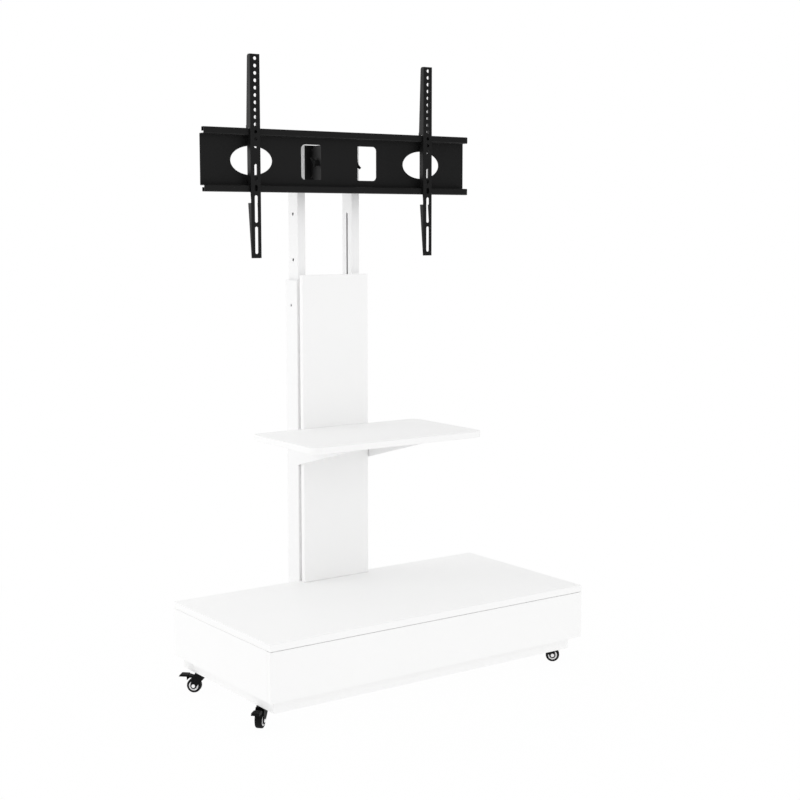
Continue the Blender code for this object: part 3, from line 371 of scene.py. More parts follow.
def turned(profile, axis, centre, segments=64, closed=True):
    """A profile of radius and height pairs, spun once round an axis through centre."""
    bm = bmesh.new()
    points = [bm.verts.new((radius, 0.0, height)) for radius, height in profile]
    edges = [bm.edges.new(pair) for pair in zip(points, points[1:])]
    if closed:
        edges.append(bm.edges.new((points[-1], points[0])))
    bmesh.ops.spin(
        bm,
        geom=points + edges,
        cent=(0.0, 0.0, 0.0),
        axis=(0.0, 0.0, 1.0),
        angle=2 * math.pi,
        steps=segments,
        use_merge=True,
    )
    bmesh.ops.transform(bm, matrix=Matrix.Translation(centre) @ TURN_TO[axis], verts=bm.verts)
    return solid(bm)


def combined(body, tools, operation):
    """Cut the tool meshes from a body, or join them to it, and return the result as one mesh."""
    host = bpy.data.objects.new("host", body)
    bpy.context.collection.objects.link(host)
    helpers = []
    for tool in tools:
        helper = bpy.data.objects.new("tool", tool)
        bpy.context.collection.objects.link(helper)
        helpers.append(helper)
        modifier = host.modifiers.new("combine", "BOOLEAN")
        modifier.object = helper
        modifier.operation = operation
        modifier.solver = "EXACT"
    evaluated = host.evaluated_get(bpy.context.evaluated_depsgraph_get())
    result = bpy.data.meshes.new_from_object(evaluated)
    for item in [host, *helpers]:
        bpy.data.objects.remove(item, do_unlink=True)
    return result


def cut(body, *tools):
    """Subtract tool meshes from a body mesh."""
    return combined(body, tools, "DIFFERENCE")


def join(body, *tools):
    """Unite tool meshes with a body mesh."""
    return combined(body, tools, "UNION")


def gathered(meshes):
    """Several separate solids in one mesh, such as a row of cutters or of screw heads."""
    bm = bmesh.new()
    for mesh in meshes:
        bm.from_mesh(mesh)
    result = bpy.data.meshes.new("group")
    bm.to_mesh(result)
    bm.free()
    return result


def moved(mesh, matrix):
    """A copy of a mesh in another place."""
    result = mesh.copy()
    result.transform(matrix)
    return result


def put(name, mesh, material, body, slot, *nodes, bevel=0.0):
    """Put a mesh into the scene as one finished piece, in place of the CAD nodes named."""
    mesh.name = name
    mesh.materials.clear()
    mesh.materials.append(bpy.data.materials[material])
    mesh.shade_smooth()
    mesh.set_sharp_from_angle(angle=math.radians(32))
    piece = bpy.data.objects.new(name, mesh)
    bpy.context.collection.objects.link(piece)
    if bevel > 0.0:
        edge = piece.modifiers.new("edge", "BEVEL")
        edge.width = bevel
        edge.segments = 2
        edge.limit_method = "ANGLE"
        edge.angle_limit = math.radians(40)
        edge.use_clamp_overlap = False
    smooth = piece.modifiers.new("shading", "WEIGHTED_NORMAL")
    smooth.keep_sharp = True
    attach(piece, body)
    if nodes:
        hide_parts(*nodes)
    return piece


# Finishes


def effect_group(name, inputs, outputs):
    """A shader node group with named sockets; gives its tree, its input node and its output node."""
    tree = bpy.data.node_groups.new(name, "ShaderNodeTree")
    for label, kind, value in inputs:
        socket = tree.interface.new_socket(name=label, in_out="INPUT", socket_type=kind)
        socket.default_value = value
    for label, kind in outputs:
        tree.interface.new_socket(name=label, in_out="OUTPUT", socket_type=kind)
    return tree, tree.nodes.new("NodeGroupInput"), tree.nodes.new("NodeGroupOutput")


def add_noise(tree, vector, scale, detail, roughness=0.5):
    """A noise texture in a tree, read at a vector socket."""
    noise = tree.nodes.new("ShaderNodeTexNoise")
    noise.inputs["Detail"].default_value = detail
    noise.inputs["Roughness"].default_value = roughness
    tree.links.new(vector, noise.inputs["Vector"])
    if isinstance(scale, bpy.types.NodeSocket):
        tree.links.new(scale, noise.inputs["Scale"])
    else:
        noise.inputs["Scale"].default_value = scale
    return noise.outputs["Fac"]


def add_math(tree, operation, first, second):
    """A math node; each input is a socket or a number."""
    node = tree.nodes.new("ShaderNodeMath")
    node.operation = operation
    for socket, value in zip(node.inputs, (first, second)):
        if isinstance(value, bpy.types.NodeSocket):
            tree.links.new(value, socket)
        else:
            socket.default_value = value
    return node.outputs["Value"]


def add_range(tree, value, from_low, from_high, to_low, to_high):
    """A map range node; each limit is a socket or a number."""
    node = tree.nodes.new("ShaderNodeMapRange")
    tree.links.new(value, node.inputs["Value"])
    for label, limit in (("From Min", from_low), ("From Max", from_high), ("To Min", to_low), ("To Max", to_high)):
        if isinstance(limit, bpy.types.NodeSocket):
            tree.links.new(limit, node.inputs[label])
        else:
            node.inputs[label].default_value = limit
    return node.outputs["Result"]


def add_mix(tree, factor, first, second, blend="MIX"):
    """A colour mix node; the factor and both colours are sockets or values."""
    node = tree.nodes.new("ShaderNodeMix")
    node.data_type = "RGBA"
    node.blend_type = blend
    for label, value in (("Factor_Float", factor), ("A_Color", first), ("B_Color", second)):
        socket = next(item for item in node.inputs if item.identifier == label)
        if isinstance(value, bpy.types.NodeSocket):
            tree.links.new(value, socket)
        else:
            socket.default_value = value
    return next(item for item in node.outputs if item.identifier == "Result_Color")


def make_coat_group():
    """Sprayed or pressed skin: a fine grain, a slow drift of tone, and patches that are a little glossier."""
    tree, given, made = effect_group(
        "skin grain",
        (
            ("Vector", "NodeSocketVector", (0.0, 0.0, 0.0)),
            ("Color", "NodeSocketColor", (0.8, 0.8, 0.8, 1.0)),
            ("Roughness", "NodeSocketFloat", 0.5),
            ("Grain Scale", "NodeSocketFloat", 900.0),
            ("Drift", "NodeSocketFloat", 0.03),
            ("Gloss Drift", "NodeSocketFloat", 0.08),
        ),
        (("Color", "NodeSocketColor"), ("Roughness", "NodeSocketFloat"), ("Height", "NodeSocketFloat")),
    )
    vector = given.outputs["Vector"]
    grain = add_noise(tree, vector, given.outputs["Grain Scale"], 3.0, 0.6)
    cells = tree.nodes.new("ShaderNodeTexVoronoi")
    cells.feature = "SMOOTH_F1"
    tree.links.new(vector, cells.inputs["Vector"])
    tree.links.new(add_math(tree, "MULTIPLY", given.outputs["Grain Scale"], 0.55), cells.inputs["Scale"])
    slow = add_noise(tree, vector, 7.0, 4.0)
    patches = add_noise(tree, vector, 31.0, 3.0)
    height = add_math(tree, "ADD", grain, add_math(tree, "MULTIPLY", cells.outputs["Distance"], 0.7))
    tree.links.new(height, made.inputs["Height"])
    low = add_math(tree, "SUBTRACT", 1.0, given.outputs["Drift"])
    shade = add_range(tree, add_math(tree, "ADD", slow, add_math(tree, "MULTIPLY", grain, 0.3)), 0.35, 0.95, low, 1.0)
    tint = tree.nodes.new("ShaderNodeCombineColor")
    for socket in tint.inputs[:3]:
        tree.links.new(shade, socket)
    tree.links.new(
        add_mix(tree, 1.0, given.outputs["Color"], tint.outputs["Color"], "MULTIPLY"), made.inputs["Color"]
    )
    half = add_math(tree, "MULTIPLY", given.outputs["Gloss Drift"], 0.5)
    spread = add_range(
        tree,
        patches,
        0.3,
        0.7,
        add_math(tree, "SUBTRACT", given.outputs["Roughness"], half),
        add_math(tree, "ADD", given.outputs["Roughness"], half),
    )
    tree.links.new(spread, made.inputs["Roughness"])


def make_dust_group():
    """A thin veil of dust that settles on faces that look up."""
    tree, given, made = effect_group(
        "settled dust",
        (
            ("Color", "NodeSocketColor", (0.8, 0.8, 0.8, 1.0)),
            ("Dust", "NodeSocketColor", (0.55, 0.54, 0.52, 1.0)),
            ("Amount", "NodeSocketFloat", 0.1),
            ("Vector", "NodeSocketVector", (0.0, 0.0, 0.0)),
        ),
        (("Color", "NodeSocketColor"),),
    )
    facing = tree.nodes.new("ShaderNodeSeparateXYZ")
    tree.links.new(tree.nodes.new("ShaderNodeNewGeometry").outputs["Normal"], facing.inputs["Vector"])
    upward = add_range(tree, facing.outputs["Z"], 0.35, 1.0, 0.0, 1.0)
    clumps = add_range(tree, add_noise(tree, given.outputs["Vector"], 160.0, 5.0, 0.65), 0.35, 0.75, 0.25, 1.0)
    veil = add_math(tree, "MULTIPLY", add_math(tree, "MULTIPLY", upward, clumps), given.outputs["Amount"])
    tree.links.new(add_mix(tree, veil, given.outputs["Color"], given.outputs["Dust"]), made.inputs["Color"])


def make_scuff_group():
    """Fine straight hairlines, as handling leaves on plated steel and moulded plastic."""
    tree, given, made = effect_group(
        "hairlines",
        (
            ("Vector", "NodeSocketVector", (0.0, 0.0, 0.0)),
            ("Scale", "NodeSocketFloat", 60.0),
            ("Amount", "NodeSocketFloat", 0.5),
        ),
        (("Mask", "NodeSocketFloat"),),
    )
    masks = []
    for turn, stretch in ((0.5, (1.0, 14.0, 3.0)), (-0.9, (12.0, 1.0, 5.0))):
        mapping = tree.nodes.new("ShaderNodeMapping")
        mapping.inputs["Rotation"].default_value = (turn, turn / 2, turn)
        mapping.inputs["Scale"].default_value = stretch
        tree.links.new(given.outputs["Vector"], mapping.inputs["Vector"])
        lines = add_noise(tree, mapping.outputs["Vector"], given.outputs["Scale"], 2.0)
        masks.append(add_range(tree, lines, 0.62, 0.72, 0.0, 1.0))
    both = add_math(tree, "MAXIMUM", masks[0], masks[1])
    tree.links.new(add_math(tree, "MULTIPLY", both, given.outputs["Amount"]), made.inputs["Mask"])


def make_finish(
    name, tint, roughness, grain, depth, drift=0.02, gloss_drift=0.08, dust=0.0, hairlines=0.0, metallic=0.0, specular=0.5
):
    """A material: a Principled shader fed by the skin, dust and hairline groups, each with its own values."""
    material = bpy.data.materials.new(name)
    material.use_nodes = True
    tree = material.node_tree
    shader = tree.nodes["Principled BSDF"]
    shader.inputs["Metallic"].default_value = metallic
    shader.inputs["Specular IOR Level"].default_value = specular
    place = tree.nodes.new("ShaderNodeTexCoord").outputs["Object"]
    skin = tree.nodes.new("ShaderNodeGroup")
    skin.node_tree = bpy.data.node_groups["skin grain"]
    values = {"Color": (*tint, 1.0), "Roughness": roughness, "Grain Scale": grain}
    values.update({"Drift": drift, "Gloss Drift": gloss_drift})
    for label, value in values.items():
        skin.inputs[label].default_value = value
    tree.links.new(place, skin.inputs["Vector"])
    shade = skin.outputs["Color"]
    gloss = skin.outputs["Roughness"]
    if dust > 0.0:
        veil = tree.nodes.new("ShaderNodeGroup")
        veil.node_tree = bpy.data.node_groups["settled dust"]
        veil.inputs["Amount"].default_value = dust
        tree.links.new(place, veil.inputs["Vector"])
        tree.links.new(shade, veil.inputs["Color"])
        shade = veil.outputs["Color"]
    if hairlines > 0.0:
        lines = tree.nodes.new("ShaderNodeGroup")
        lines.node_tree = bpy.data.node_groups["hairlines"]
        lines.inputs["Amount"].default_value = hairlines
        tree.links.new(place, lines.inputs["Vector"])
        gloss = add_math(tree, "ADD", gloss, add_math(tree, "MULTIPLY", lines.outputs["Mask"], 0.2))
        shade = add_mix(tree, add_math(tree, "MULTIPLY", lines.outputs["Mask"], 0.15), shade, (0.5, 0.5, 0.5, 1.0))
    tree.links.new(shade, shader.inputs["Base Color"])
    tree.links.new(gloss, shader.inputs["Roughness"])
    bump = tree.nodes.new("ShaderNodeBump")
    bump.inputs["Strength"].default_value = 0.35
    bump.inputs["Distance"].default_value = depth
    tree.links.new(skin.outputs["Height"], bump.inputs["Height"])
    tree.links.new(bump.outputs["Normal"], shader.inputs["Normal"])
    return material


def make_finishes(scene):
    """All the materials of the stand."""
    make_coat_group()
    make_dust_group()
    make_scuff_group()
    board, tube, head, castor = scene.stand_board, scene.stand_tube, scene.stand_head, scene.stand_castor
    make_finish("white laminate", board.tint, board.gloss, 1100.0, 0.00005, drift=0.012, dust=0.02)
    make_finish("drawer laminate", tuple(0.98 * part for part in board.tint), 0.5, 800.0, 0.00006, drift=0.02)
    make_finish("white powder coat", tube.tint, 0.38, 1500.0, 0.00008, drift=0.012, dust=0.02)
    make_finish(
        "black powder coat", head.tint, head.gloss, 1300.0, 0.00010, drift=0.25, dust=0.008, specular=0.3
    )
    make_finish(
        "black moulding", castor.black, 0.46, 700.0, 0.00012, drift=0.2, dust=0.005, hairlines=0.1, specular=0.05
    )
    make_finish("black tread", castor.tyre, 0.66, 500.0, 0.00016, drift=0.35, dust=0.02, specular=0.12)
    # Castor cores and axle caps: the same pale plastic as the moulding below, painted lighter as painted light against
    # the shade that the base casts on them.
    make_finish("pale moulding with painted light", castor.pale, 0.36, 800.0, 0.00006, drift=0.02)
    make_finish("pale moulding", (0.74, 0.75, 0.76), 0.36, 800.0, 0.00006, drift=0.03, hairlines=0.2)
    make_finish(
        "zinc plate", (0.62, 0.63, 0.64), 0.30, 400.0, 0.00005, drift=0.18, gloss_drift=0.2, hairlines=0.6, metallic=1.0
    )


# Pieces


def board(name, material, body, slot, radius, node=None):
    """A board as large as its CAD node, with rounded edges."""
    low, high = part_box(node or name)
    put("board_" + name, block(low, high, radius, segments=4), material, body, slot, node or name)


def screw_head(centre, axis, ends, radius, recess=0.5):
    """A pan head with a hexagonal recess in its outer end; ends runs from its seat to its top."""
    seat, top = ends
    height = top - seat
    profile = [(0.0, 0.0), (radius, 0.0), (radius, 0.45), (radius * 0.93, 0.75), (radius * 0.75, 0.95), (0.0, 1.0)]
    place = Vector(centre)
    place["XYZ".index(axis)] = seat
    spun = turned([(wide, share_up * abs(height)) for wide, share_up in profile], "Z", (0.0, 0.0, 0.0), 28, False)
    turn = TURN_TO[axis].copy()
    if height < 0.0:
        turn = turn @ Matrix.Rotation(math.pi, 4, "X")
    matrix = Matrix.Translation(place) @ turn
    deep = abs(height) * (1.0 - recess)
    socket = rod((0.0, 0.0, 0.0), "Z", (deep, abs(height) + OVERRUN), radius * 0.42, segments=6)
    return moved(cut(spun, socket), matrix)


class STAND_OT_finishes(Operator):
    """Make the materials"""

    bl_idname = "stand.finishes"
    bl_label = "Finishes"

    def execute(self, context):
        make_finishes(context.scene)
        return {"FINISHED"}


class STAND_OT_base(Operator):
    """Build the lid, sides, back, bottom and plinth of the base"""

    bl_idname = "stand.base"
    bl_label = "Base"

    def execute(self, context):
        sizes = context.scene.stand_board
        board("lid_top", "white laminate", "base", "white_board", sizes.lid_round)
        for name in ("side_left", "side_right", "back_panel", "bottom_panel"):
            board(name, "white laminate", "base", "white_board", sizes.board_round)
        low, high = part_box("plinth_frame")
        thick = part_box("side_left")[1].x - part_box("side_left")[0].x
        ring = block(low, high, sizes.board_round, segments=4)
        inner = Vector((thick, thick, -OVERRUN))
        ring = cut(ring, block(low + inner, high - inner))
        blocks = []
        bores = []
        for name in CASTORS:
            plate_low, plate_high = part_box(f"castor_{name}_plate")
            middle = (plate_low + plate_high) / 2
            side = math.copysign(1.0, middle.x)
            outer = side * (high.x - thick / 2)
            inside = side * (high.x - thick - BLOCK_WIDTH)
            across = sorted((outer, inside))
            reach = BLOCK_LENGTH / 2
            blocks.append(
                block((across[0], middle.y - reach, low.z), (across[1], middle.y + reach, high.z - SEAT), 0.001, "Z")
            )
            bores.append(rod(middle, "Z", (low.z - OVERRUN, low.z + STEM_LENGTH), STEM_RADIUS + SEAT))
        plinth = cut(join(ring, *blocks), gathered(bores))
        put("plinth", plinth, "white laminate", "base", "white_board", "plinth_frame")
        return {"FINISHED"}


class STAND_OT_drawer(Operator):
    """Build the drawer with its front, box and runners, and the push latch behind it"""

    bl_idname = "stand.drawer"
    bl_label = "Drawer"

    def execute(self, context):
        sizes = context.scene.stand_board
        board("drawer_front", "white laminate", "drawer", "white_board", sizes.board_round)
        for name in ("drawer_side_left", "drawer_side_right", "drawer_back", "drawer_bottom"):
            board(name, "drawer laminate", "drawer", "white_board", sizes.board_round)
        sheet = sizes.runner_sheet
        for side_name, side in SIDES:
            for kind, body, back_side in (("fixed", "base", side), ("moving", "drawer", -side)):
                node = f"runner_{kind}_{side_name}"
                low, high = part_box(node)
                bar = block(low, high, sheet / 2, "Y", 3)
                trough_low = low + Vector((sheet, -OVERRUN, sheet))
                trough_high = high + Vector((-sheet, OVERRUN, -sheet))
                if back_side > 0:
                    trough_low.x = low.x - OVERRUN
                else:
                    trough_high.x = high.x + OVERRUN
                put(node + "_rail", cut(bar, block(trough_low, trough_high)), "zinc plate", body, "zinc_steel", node)
        low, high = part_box("push_latch")
        middle = (low + high) / 2
        nose = 0.0048
        case = block((low.x, low.y + nose, low.z), high, 0.0012)
        plunger = turned(
            [(0.0, 0.0), (0.0030, 0.0), (0.0040, 0.0010), (0.0040, 0.0100), (0.0, 0.0100)],
            "Y",
            (middle.x, low.y, middle.z),
            closed=False,
        )
        put("push_latch_case", join(case, plunger), "pale moulding", "base", "pale_plastic", "push_latch")
        return {"FINISHED"}


def tube_shell(low, high, wall, radius, closed_at=None):
    """An upright rectangular tube with rounded edges; closed_at gives it a floor that thick."""
    outer = block(low, high, radius, "Z", 6)
    floor = -OVERRUN if closed_at is None else closed_at
    hollow = block(
        (low.x + wall, low.y + wall, low.z + floor), (high.x - wall, high.y - wall, high.z + OVERRUN), radius - wall, "Z", 6
    )
    return cut(outer, hollow)


class STAND_OT_column(Operator):
    """Build the outer tubes, their collars and screws, and the cover panel"""

    bl_idname = "stand.column"
    bl_label = "Column"

    def execute(self, context):
        sizes = context.scene.stand_tube
        board("column_panel", "white laminate", "base", "white_board", context.scene.stand_board.board_round)
        panel_low, panel_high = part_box("column_panel")
        for side_name, side in SIDES:
            low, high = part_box("outer_tube_" + side_name)
            boss_front = low.y
            low.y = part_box("back_panel")[1].y + SEAT
            middle = (low + high) / 2
            outside = low.x if side < 0 else high.x
            inside = high.x if side < 0 else low.x
            lock = sum(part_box("lock_screw_" + side_name), Vector()) / 2
            tools = []
            tools.append(rod(lock, "X", (outside - OVERRUN, outside + OVERRUN), LOCK_CLEAR_RADIUS))
            tools.append(rod(lock, "X", (inside - OVERRUN, inside + OVERRUN), sizes.guide_radius))
            box_low, box_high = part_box("side_left")
            heads = []
            for up in ACCESS_SHARES:
                z = box_low.z + up * (box_high.z + SEAT - box_low.z)
                tools.append(rod((middle.x, 0.0, z), "Y", (high.y - OVERRUN, high.y + OVERRUN), sizes.access_radius))
                seat = low.y + sizes.wall
                heads.append(screw_head((middle.x, 0.0, z), "Y", (seat, seat + BOLT_HEIGHT), BOLT_RADIUS))
            shell = tube_shell(low, high, sizes.wall, sizes.tube_round, sizes.wall)
            bosses = []
            for up in BOSS_SHARES:
                z = panel_low.z + up * (panel_high.z - panel_low.z)
                ends = (boss_front, low.y + sizes.wall / 2)
                bosses.append(rod((middle.x, 0.0, z), "Y", ends, sizes.boss_radius))
            tube = cut(join(shell, *bosses), gathered(tools))
            put("column_tube_" + side_name, tube, "white powder coat", "base", "white_steel", "outer_tube_" + side_name)
            put("base_bolts_" + side_name, gathered(heads), "zinc plate", "base", "zinc_steel")

            low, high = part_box("guide_collar_" + side_name)
            inner_low, inner_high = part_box("inner_tube_" + side_name)
            ring = block(low, high, 0.0014, segments=4)
            passage = block(
                (inner_low.x - SEAT, inner_low.y - SEAT, low.z - OVERRUN),
                (inner_high.x + SEAT, inner_high.y + SEAT, high.z + OVERRUN),
                sizes.tube_round,
                "Z",
            )
            put(
                "collar_" + side_name, cut(ring, passage), "pale moulding", "base", "pale_plastic", "guide_collar_" + side_name
            )

            low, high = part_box("lock_screw_" + side_name)
            radius = (high.z - low.z) / 2
            screw = rod(lock, "X", (low.x, high.x), radius)
            outer_end = low.x if side < 0 else high.x
            socket = rod(lock, "X", (outer_end + side * OVERRUN, outer_end - side * SOCKET_DEPTH), radius * 0.55, segments=6)
            put("lock_bolt_" + side_name, cut(screw, socket), "zinc plate", "base", "zinc_steel", "lock_screw_" + side_name)

            low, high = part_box("guide_screw_" + side_name)
            head_end = high.x if side < 0 else low.x
            head_seat = inside - side * SEAT
            head = screw_head(lock, "X", (head_seat, head_end), (high.y - low.y) / 2)
            shank_end = low.x if side < 0 else high.x
            shank = rod(lock, "X", (head_seat, shank_end), sizes.guide_radius - SEAT)
            put(
                "guide_bolt_" + side_name,
                gathered([head, shank]),
                "zinc plate",
                "base",
                "zinc_steel",
                "guide_screw_" + side_name,
            )
        return {"FINISHED"}


class STAND_OT_shelf(Operator):
    """Build the shelf, its brackets and their screw heads"""

    bl_idname = "stand.shelf"
    bl_label = "Shelf"

    def execute(self, context):
        sizes = context.scene.stand_board
        low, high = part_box("shelf")
        bm = bmesh.new()
        matrix = Matrix.Translation((low + high) / 2) @ Matrix.Diagonal((*(high - low), 1.0))
        bmesh.ops.create_cube(bm, size=1.0, matrix=matrix)
        upright = [edge for edge in bm.edges if abs(edge.verts[0].co.z - edge.verts[1].co.z) > (high.z - low.z) / 2]
        round_off(bm, upright, sizes.shelf_corner, 16)
        rims = [edge for edge in bm.edges if abs(edge.verts[0].co.z - edge.verts[1].co.z) < SEAT]
        round_off(bm, rims, sizes.shelf_round, 3)
        put("shelf_board", solid(bm), "white laminate", "base", "white_board", "shelf")
        sheet = context.scene.stand_tube.sheet
        for side_name, side in SIDES:
            low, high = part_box("shelf_bracket_" + side_name)
            tube_low, tube_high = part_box("outer_tube_" + side_name)
            tube_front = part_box("back_panel")[1].y + SEAT
            outer = low.x if side < 0 else high.x
            inner = outer - side * sheet
            shelf_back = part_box("shelf")[1].y
            corners = (
                (low.y, high.z),
                (low.y, high.z - BRACKET_TIP),
                (tube_front, low.z),
                (high.y, low.z),
                (high.y, high.z),
            )
            wall = pushed(corners, "X", (inner, outer), [(0.0015, [1]), (0.006, [3, 4])])
            flange_inner = high.x if side < 0 else low.x
            flange = block(
                (min(outer, flange_inner), low.y, high.z - sheet), (max(outer, flange_inner), shelf_back, high.z)
            )
            bracket = join(wall, flange)
            heads = []
            for place in (tube_front + BRACKET_BOLT_INSET, tube_high.y - BRACKET_BOLT_INSET):
                centre = (0.0, place, high.z - BRACKET_BOLT_DROP)
                heads.append(screw_head(centre, "X", (outer, outer + side * 0.0026), 0.0052))
            put(
                "bracket_" + side_name, bracket, "white powder coat", "base", "white_steel", "shelf_bracket_" + side_name
            )
            put("bracket_bolts_" + side_name, gathered(heads), "white powder coat", "base", "white_steel")
            heads = []
            for along in SHELF_SCREW_SHARES:
                centre = ((outer + flange_inner) / 2, low.y + along * (shelf_back - low.y), 0.0)
                seat = high.z - sheet
                heads.append(screw_head(centre, "Z", (seat, seat - 0.0024), 0.0046))
            put("shelf_screws_" + side_name, gathered(heads), "zinc plate", "base", "zinc_steel")
        return {"FINISHED"}


class STAND_OT_mast(Operator):
    """Build the inner tubes, their caps, and the yoke with its bolts"""

    bl_idname = "stand.mast"
    bl_label = "Mast"

    def execute(self, context):
        sizes = context.scene.stand_tube
        for side_name, side in SIDES:
            low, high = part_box("inner_tube_" + side_name)
            middle = (low + high) / 2
            lock = sum(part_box("lock_screw_" + side_name), Vector()) / 2
            outside = low.x if side < 0 else high.x
            inside = high.x if side < 0 else low.x
            tools = []
            for step in range(3):
                place = (0.0, middle.y, lock.z + step * sizes.lock_pitch)
                tools.append(rod(place, "X", (outside - OVERRUN, outside + OVERRUN), sizes.lock_radius))
            centre = (middle.y, lock.z + sizes.lock_pitch)
            ends = (inside - OVERRUN, inside + OVERRUN)
            tools.append(
                slot_cutter(centre, "X", ends, sizes.slot_radius, sizes.lock_pitch + sizes.lock_radius)
            )
            shell = tube_shell(low, high, sizes.wall, sizes.tube_round)
            put(
                "mast_tube_" + side_name,
                cut(shell, gathered(tools)),
                "white powder coat",
                "mast",
                "white_steel",
                "inner_tube_" + side_name,
            )
            cap_low, cap_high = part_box("inner_cap_" + side_name)
            lid_low = Vector((cap_low.x, cap_low.y, high.z + SEAT))
            inset = Vector((sizes.wall + SEAT, sizes.wall + SEAT, 0.0))
            plug = block(cap_low + inset, Vector((cap_high.x, cap_high.y, high.z + 2 * SEAT)) - inset, 0.001, "Z")
            lid = block(lid_low, cap_high, 0.0013, segments=4)
            put("mast_cap_" + side_name, join(lid, plug), "black moulding", "mast", "black_plastic", "inner_cap_" + side_name)

        head = context.scene.stand_head
        low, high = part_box("tilt_yoke")
        bolt = sum(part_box("tilt_bolt"), Vector()) / 2
        tube_low, tube_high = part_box("inner_tube_right")
        front = tube_low.y
        sheet = YOKE_SHEET
        half = high.x
        corners = (
            (-half, front),
            (half, front),
            (half, high.y),
            (half - sheet, high.y),
            (half - sheet, front + sheet),
            (sheet - half, front + sheet),
            (sheet - half, high.y),
            (-half, high.y),
        )
        channel = pushed(corners, "Z", (low.z, high.z), [(0.0035, [0, 1]), (0.001, [4, 5])])
        ears = []
        tools = []
        flare = (high.z - low.z) * YOKE_ROOT_SHARE / 2
        for side in (-1, 1):
            outer = side * (head.tongue - head.sheet - SEAT)
            nose_front = low.y
            nose = bolt.y - nose_front
            corners = (
                (nose_front, bolt.z - nose),
                (nose_front, bolt.z + nose),
                (bolt.y, bolt.z + nose),
                (front + sheet / 2, bolt.z + flare),
                (front + sheet / 2, bolt.z - flare),
                (bolt.y, bolt.z - nose),
            )
            ears.append(pushed(corners, "X", (outer, outer - side * sheet), [(nose * 0.98, [0, 1])], 12))
            tools.append(rod(bolt, "X", (outer + side * OVERRUN, outer - side * (sheet + OVERRUN)), 0.0044))
        yoke = cut(join(channel, *ears), gathered(tools))
        put("yoke", yoke, "black powder coat", "mast", "black_steel", "tilt_yoke")
        heads = []
        for side in (-1, 1):
            face = side * (half - sheet)
            for up in (-0.025, 0.025):
                centre = (0.0, front + YOKE_BOLT_BACK, bolt.z + up)
                heads.append(screw_head(centre, "X", (face, face - side * 0.0036), 0.0055))
        put("yoke_bolts", gathered(heads), "zinc plate", "mast", "zinc_steel")
        return {"FINISHED"}


class STAND_OT_head(Operator):
    """Build the wall plate, the tilt bolt and the wing knobs"""

    bl_idname = "stand.head"
    bl_label = "Head"

    def execute(self, context):
        sizes = context.scene.stand_head
        low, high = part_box("wall_plate")
        bolt = sum(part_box("tilt_bolt"), Vector()) / 2
        sheet = sizes.sheet
        rail = low.y
        plate = rail + sizes.rail_forward
        lip = rail + sizes.rail_return
        rise = high.z - bolt.z
        step = rise - sizes.rail_height
        upper = [
            (plate, step),
            (rail, step),
            (rail, rise),
            (lip, rise),
            (lip, rise - sizes.rail_lip),
            (lip - sheet, rise - sizes.rail_lip),
            (lip - sheet, rise - sheet),
            (rail + sheet, rise - sheet),
            (rail + sheet, step + sheet),
            (plate + sheet, step + sheet),
        ]
        outline = upper + [(y, -z) for y, z in reversed(upper)]
        outline = [(y, bolt.z + z) for y, z in outline]
        outer_corners = [1, 2, 3, 9, 10, 16, 17, 18]
        inner_corners = [0, 6, 7, 8, 11, 12, 13, 19]
        bent = pushed(outline, "X", (low.x, high.x), [(0.0028, outer_corners), (0.0008, inner_corners)], 5)
        ends = (plate - OVERRUN, plate + sheet + OVERRUN)
        openings = []
        for side in (-1, 1):
            shape = Matrix.Diagonal((sizes.oval_width / 2, 1.0, sizes.oval_height / 2, 1.0))
            disc = rod((0.0, 0.0, 0.0), "Y", ends, 1.0, segments=96)
            openings.append(moved(disc, Matrix.Translation((side * sizes.oval_place, 0.0, bolt.z)) @ shape))
            corners = (
                (side * sizes.tongue, bolt.z - sizes.window_height / 2),
                (side * sizes.window_width / 2, bolt.z - sizes.window_height / 2),
                (side * sizes.window_width / 2, bolt.z + sizes.window_height / 2),
                (side * sizes.tongue, bolt.z + sizes.window_height / 2),
            )
            openings.append(pushed(corners, "Y", ends, [(0.0115, [1, 2]), (0.0015, [0, 3])], 8))
        bent = cut(bent, gathered(openings))
        ears = []
        for side in (-1, 1):
            face = side * sizes.tongue
            reach = high.y
            corners = (
                (plate + sheet / 2, bolt.z - EAR_HEIGHT / 2),
                (reach, bolt.z - EAR_HEIGHT / 2),
                (reach, bolt.z + EAR_HEIGHT / 2),
                (plate + sheet / 2, bolt.z + EAR_HEIGHT / 2),
            )
            ears.append(pushed(corners, "X", (face, face - side * sheet), [(0.012, [1, 2])], 8))
        across = sizes.tongue + OVERRUN
        bore = rod(bolt, "X", (-across, across), 0.0043)
        put(
            "rail_plate", cut(join(bent, *ears), bore), "black powder coat", "head", "black_steel", "wall_plate"
        )
        low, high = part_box("tilt_bolt")
        radius = (high.y - low.y) / 2
        shaft = turned(
            [
                (0.0, low.x),
                (radius * 0.8, low.x),
                (radius, low.x + radius * 0.2),
                (radius, high.x - radius * 0.2),
                (radius * 0.8, high.x),
                (0.0, high.x),
            ],
            "X",
            (0.0, bolt.y, bolt.z),
            closed=False,
        )
        put("tilt_shaft", shaft, "zinc plate", "head", "zinc_steel", "tilt_bolt")
        for side_name, side in SIDES:
            knob = moved(wing_knob(side_name, side, sizes.tongue), Matrix.Translation((0.0, bolt.y, bolt.z)))
            body = "knob_" + side_name
            put("knob_" + side_name, knob, "black moulding", body, "black_plastic", "wing_knob_" + side_name, bevel=0.0007)
        return {"FINISHED"}


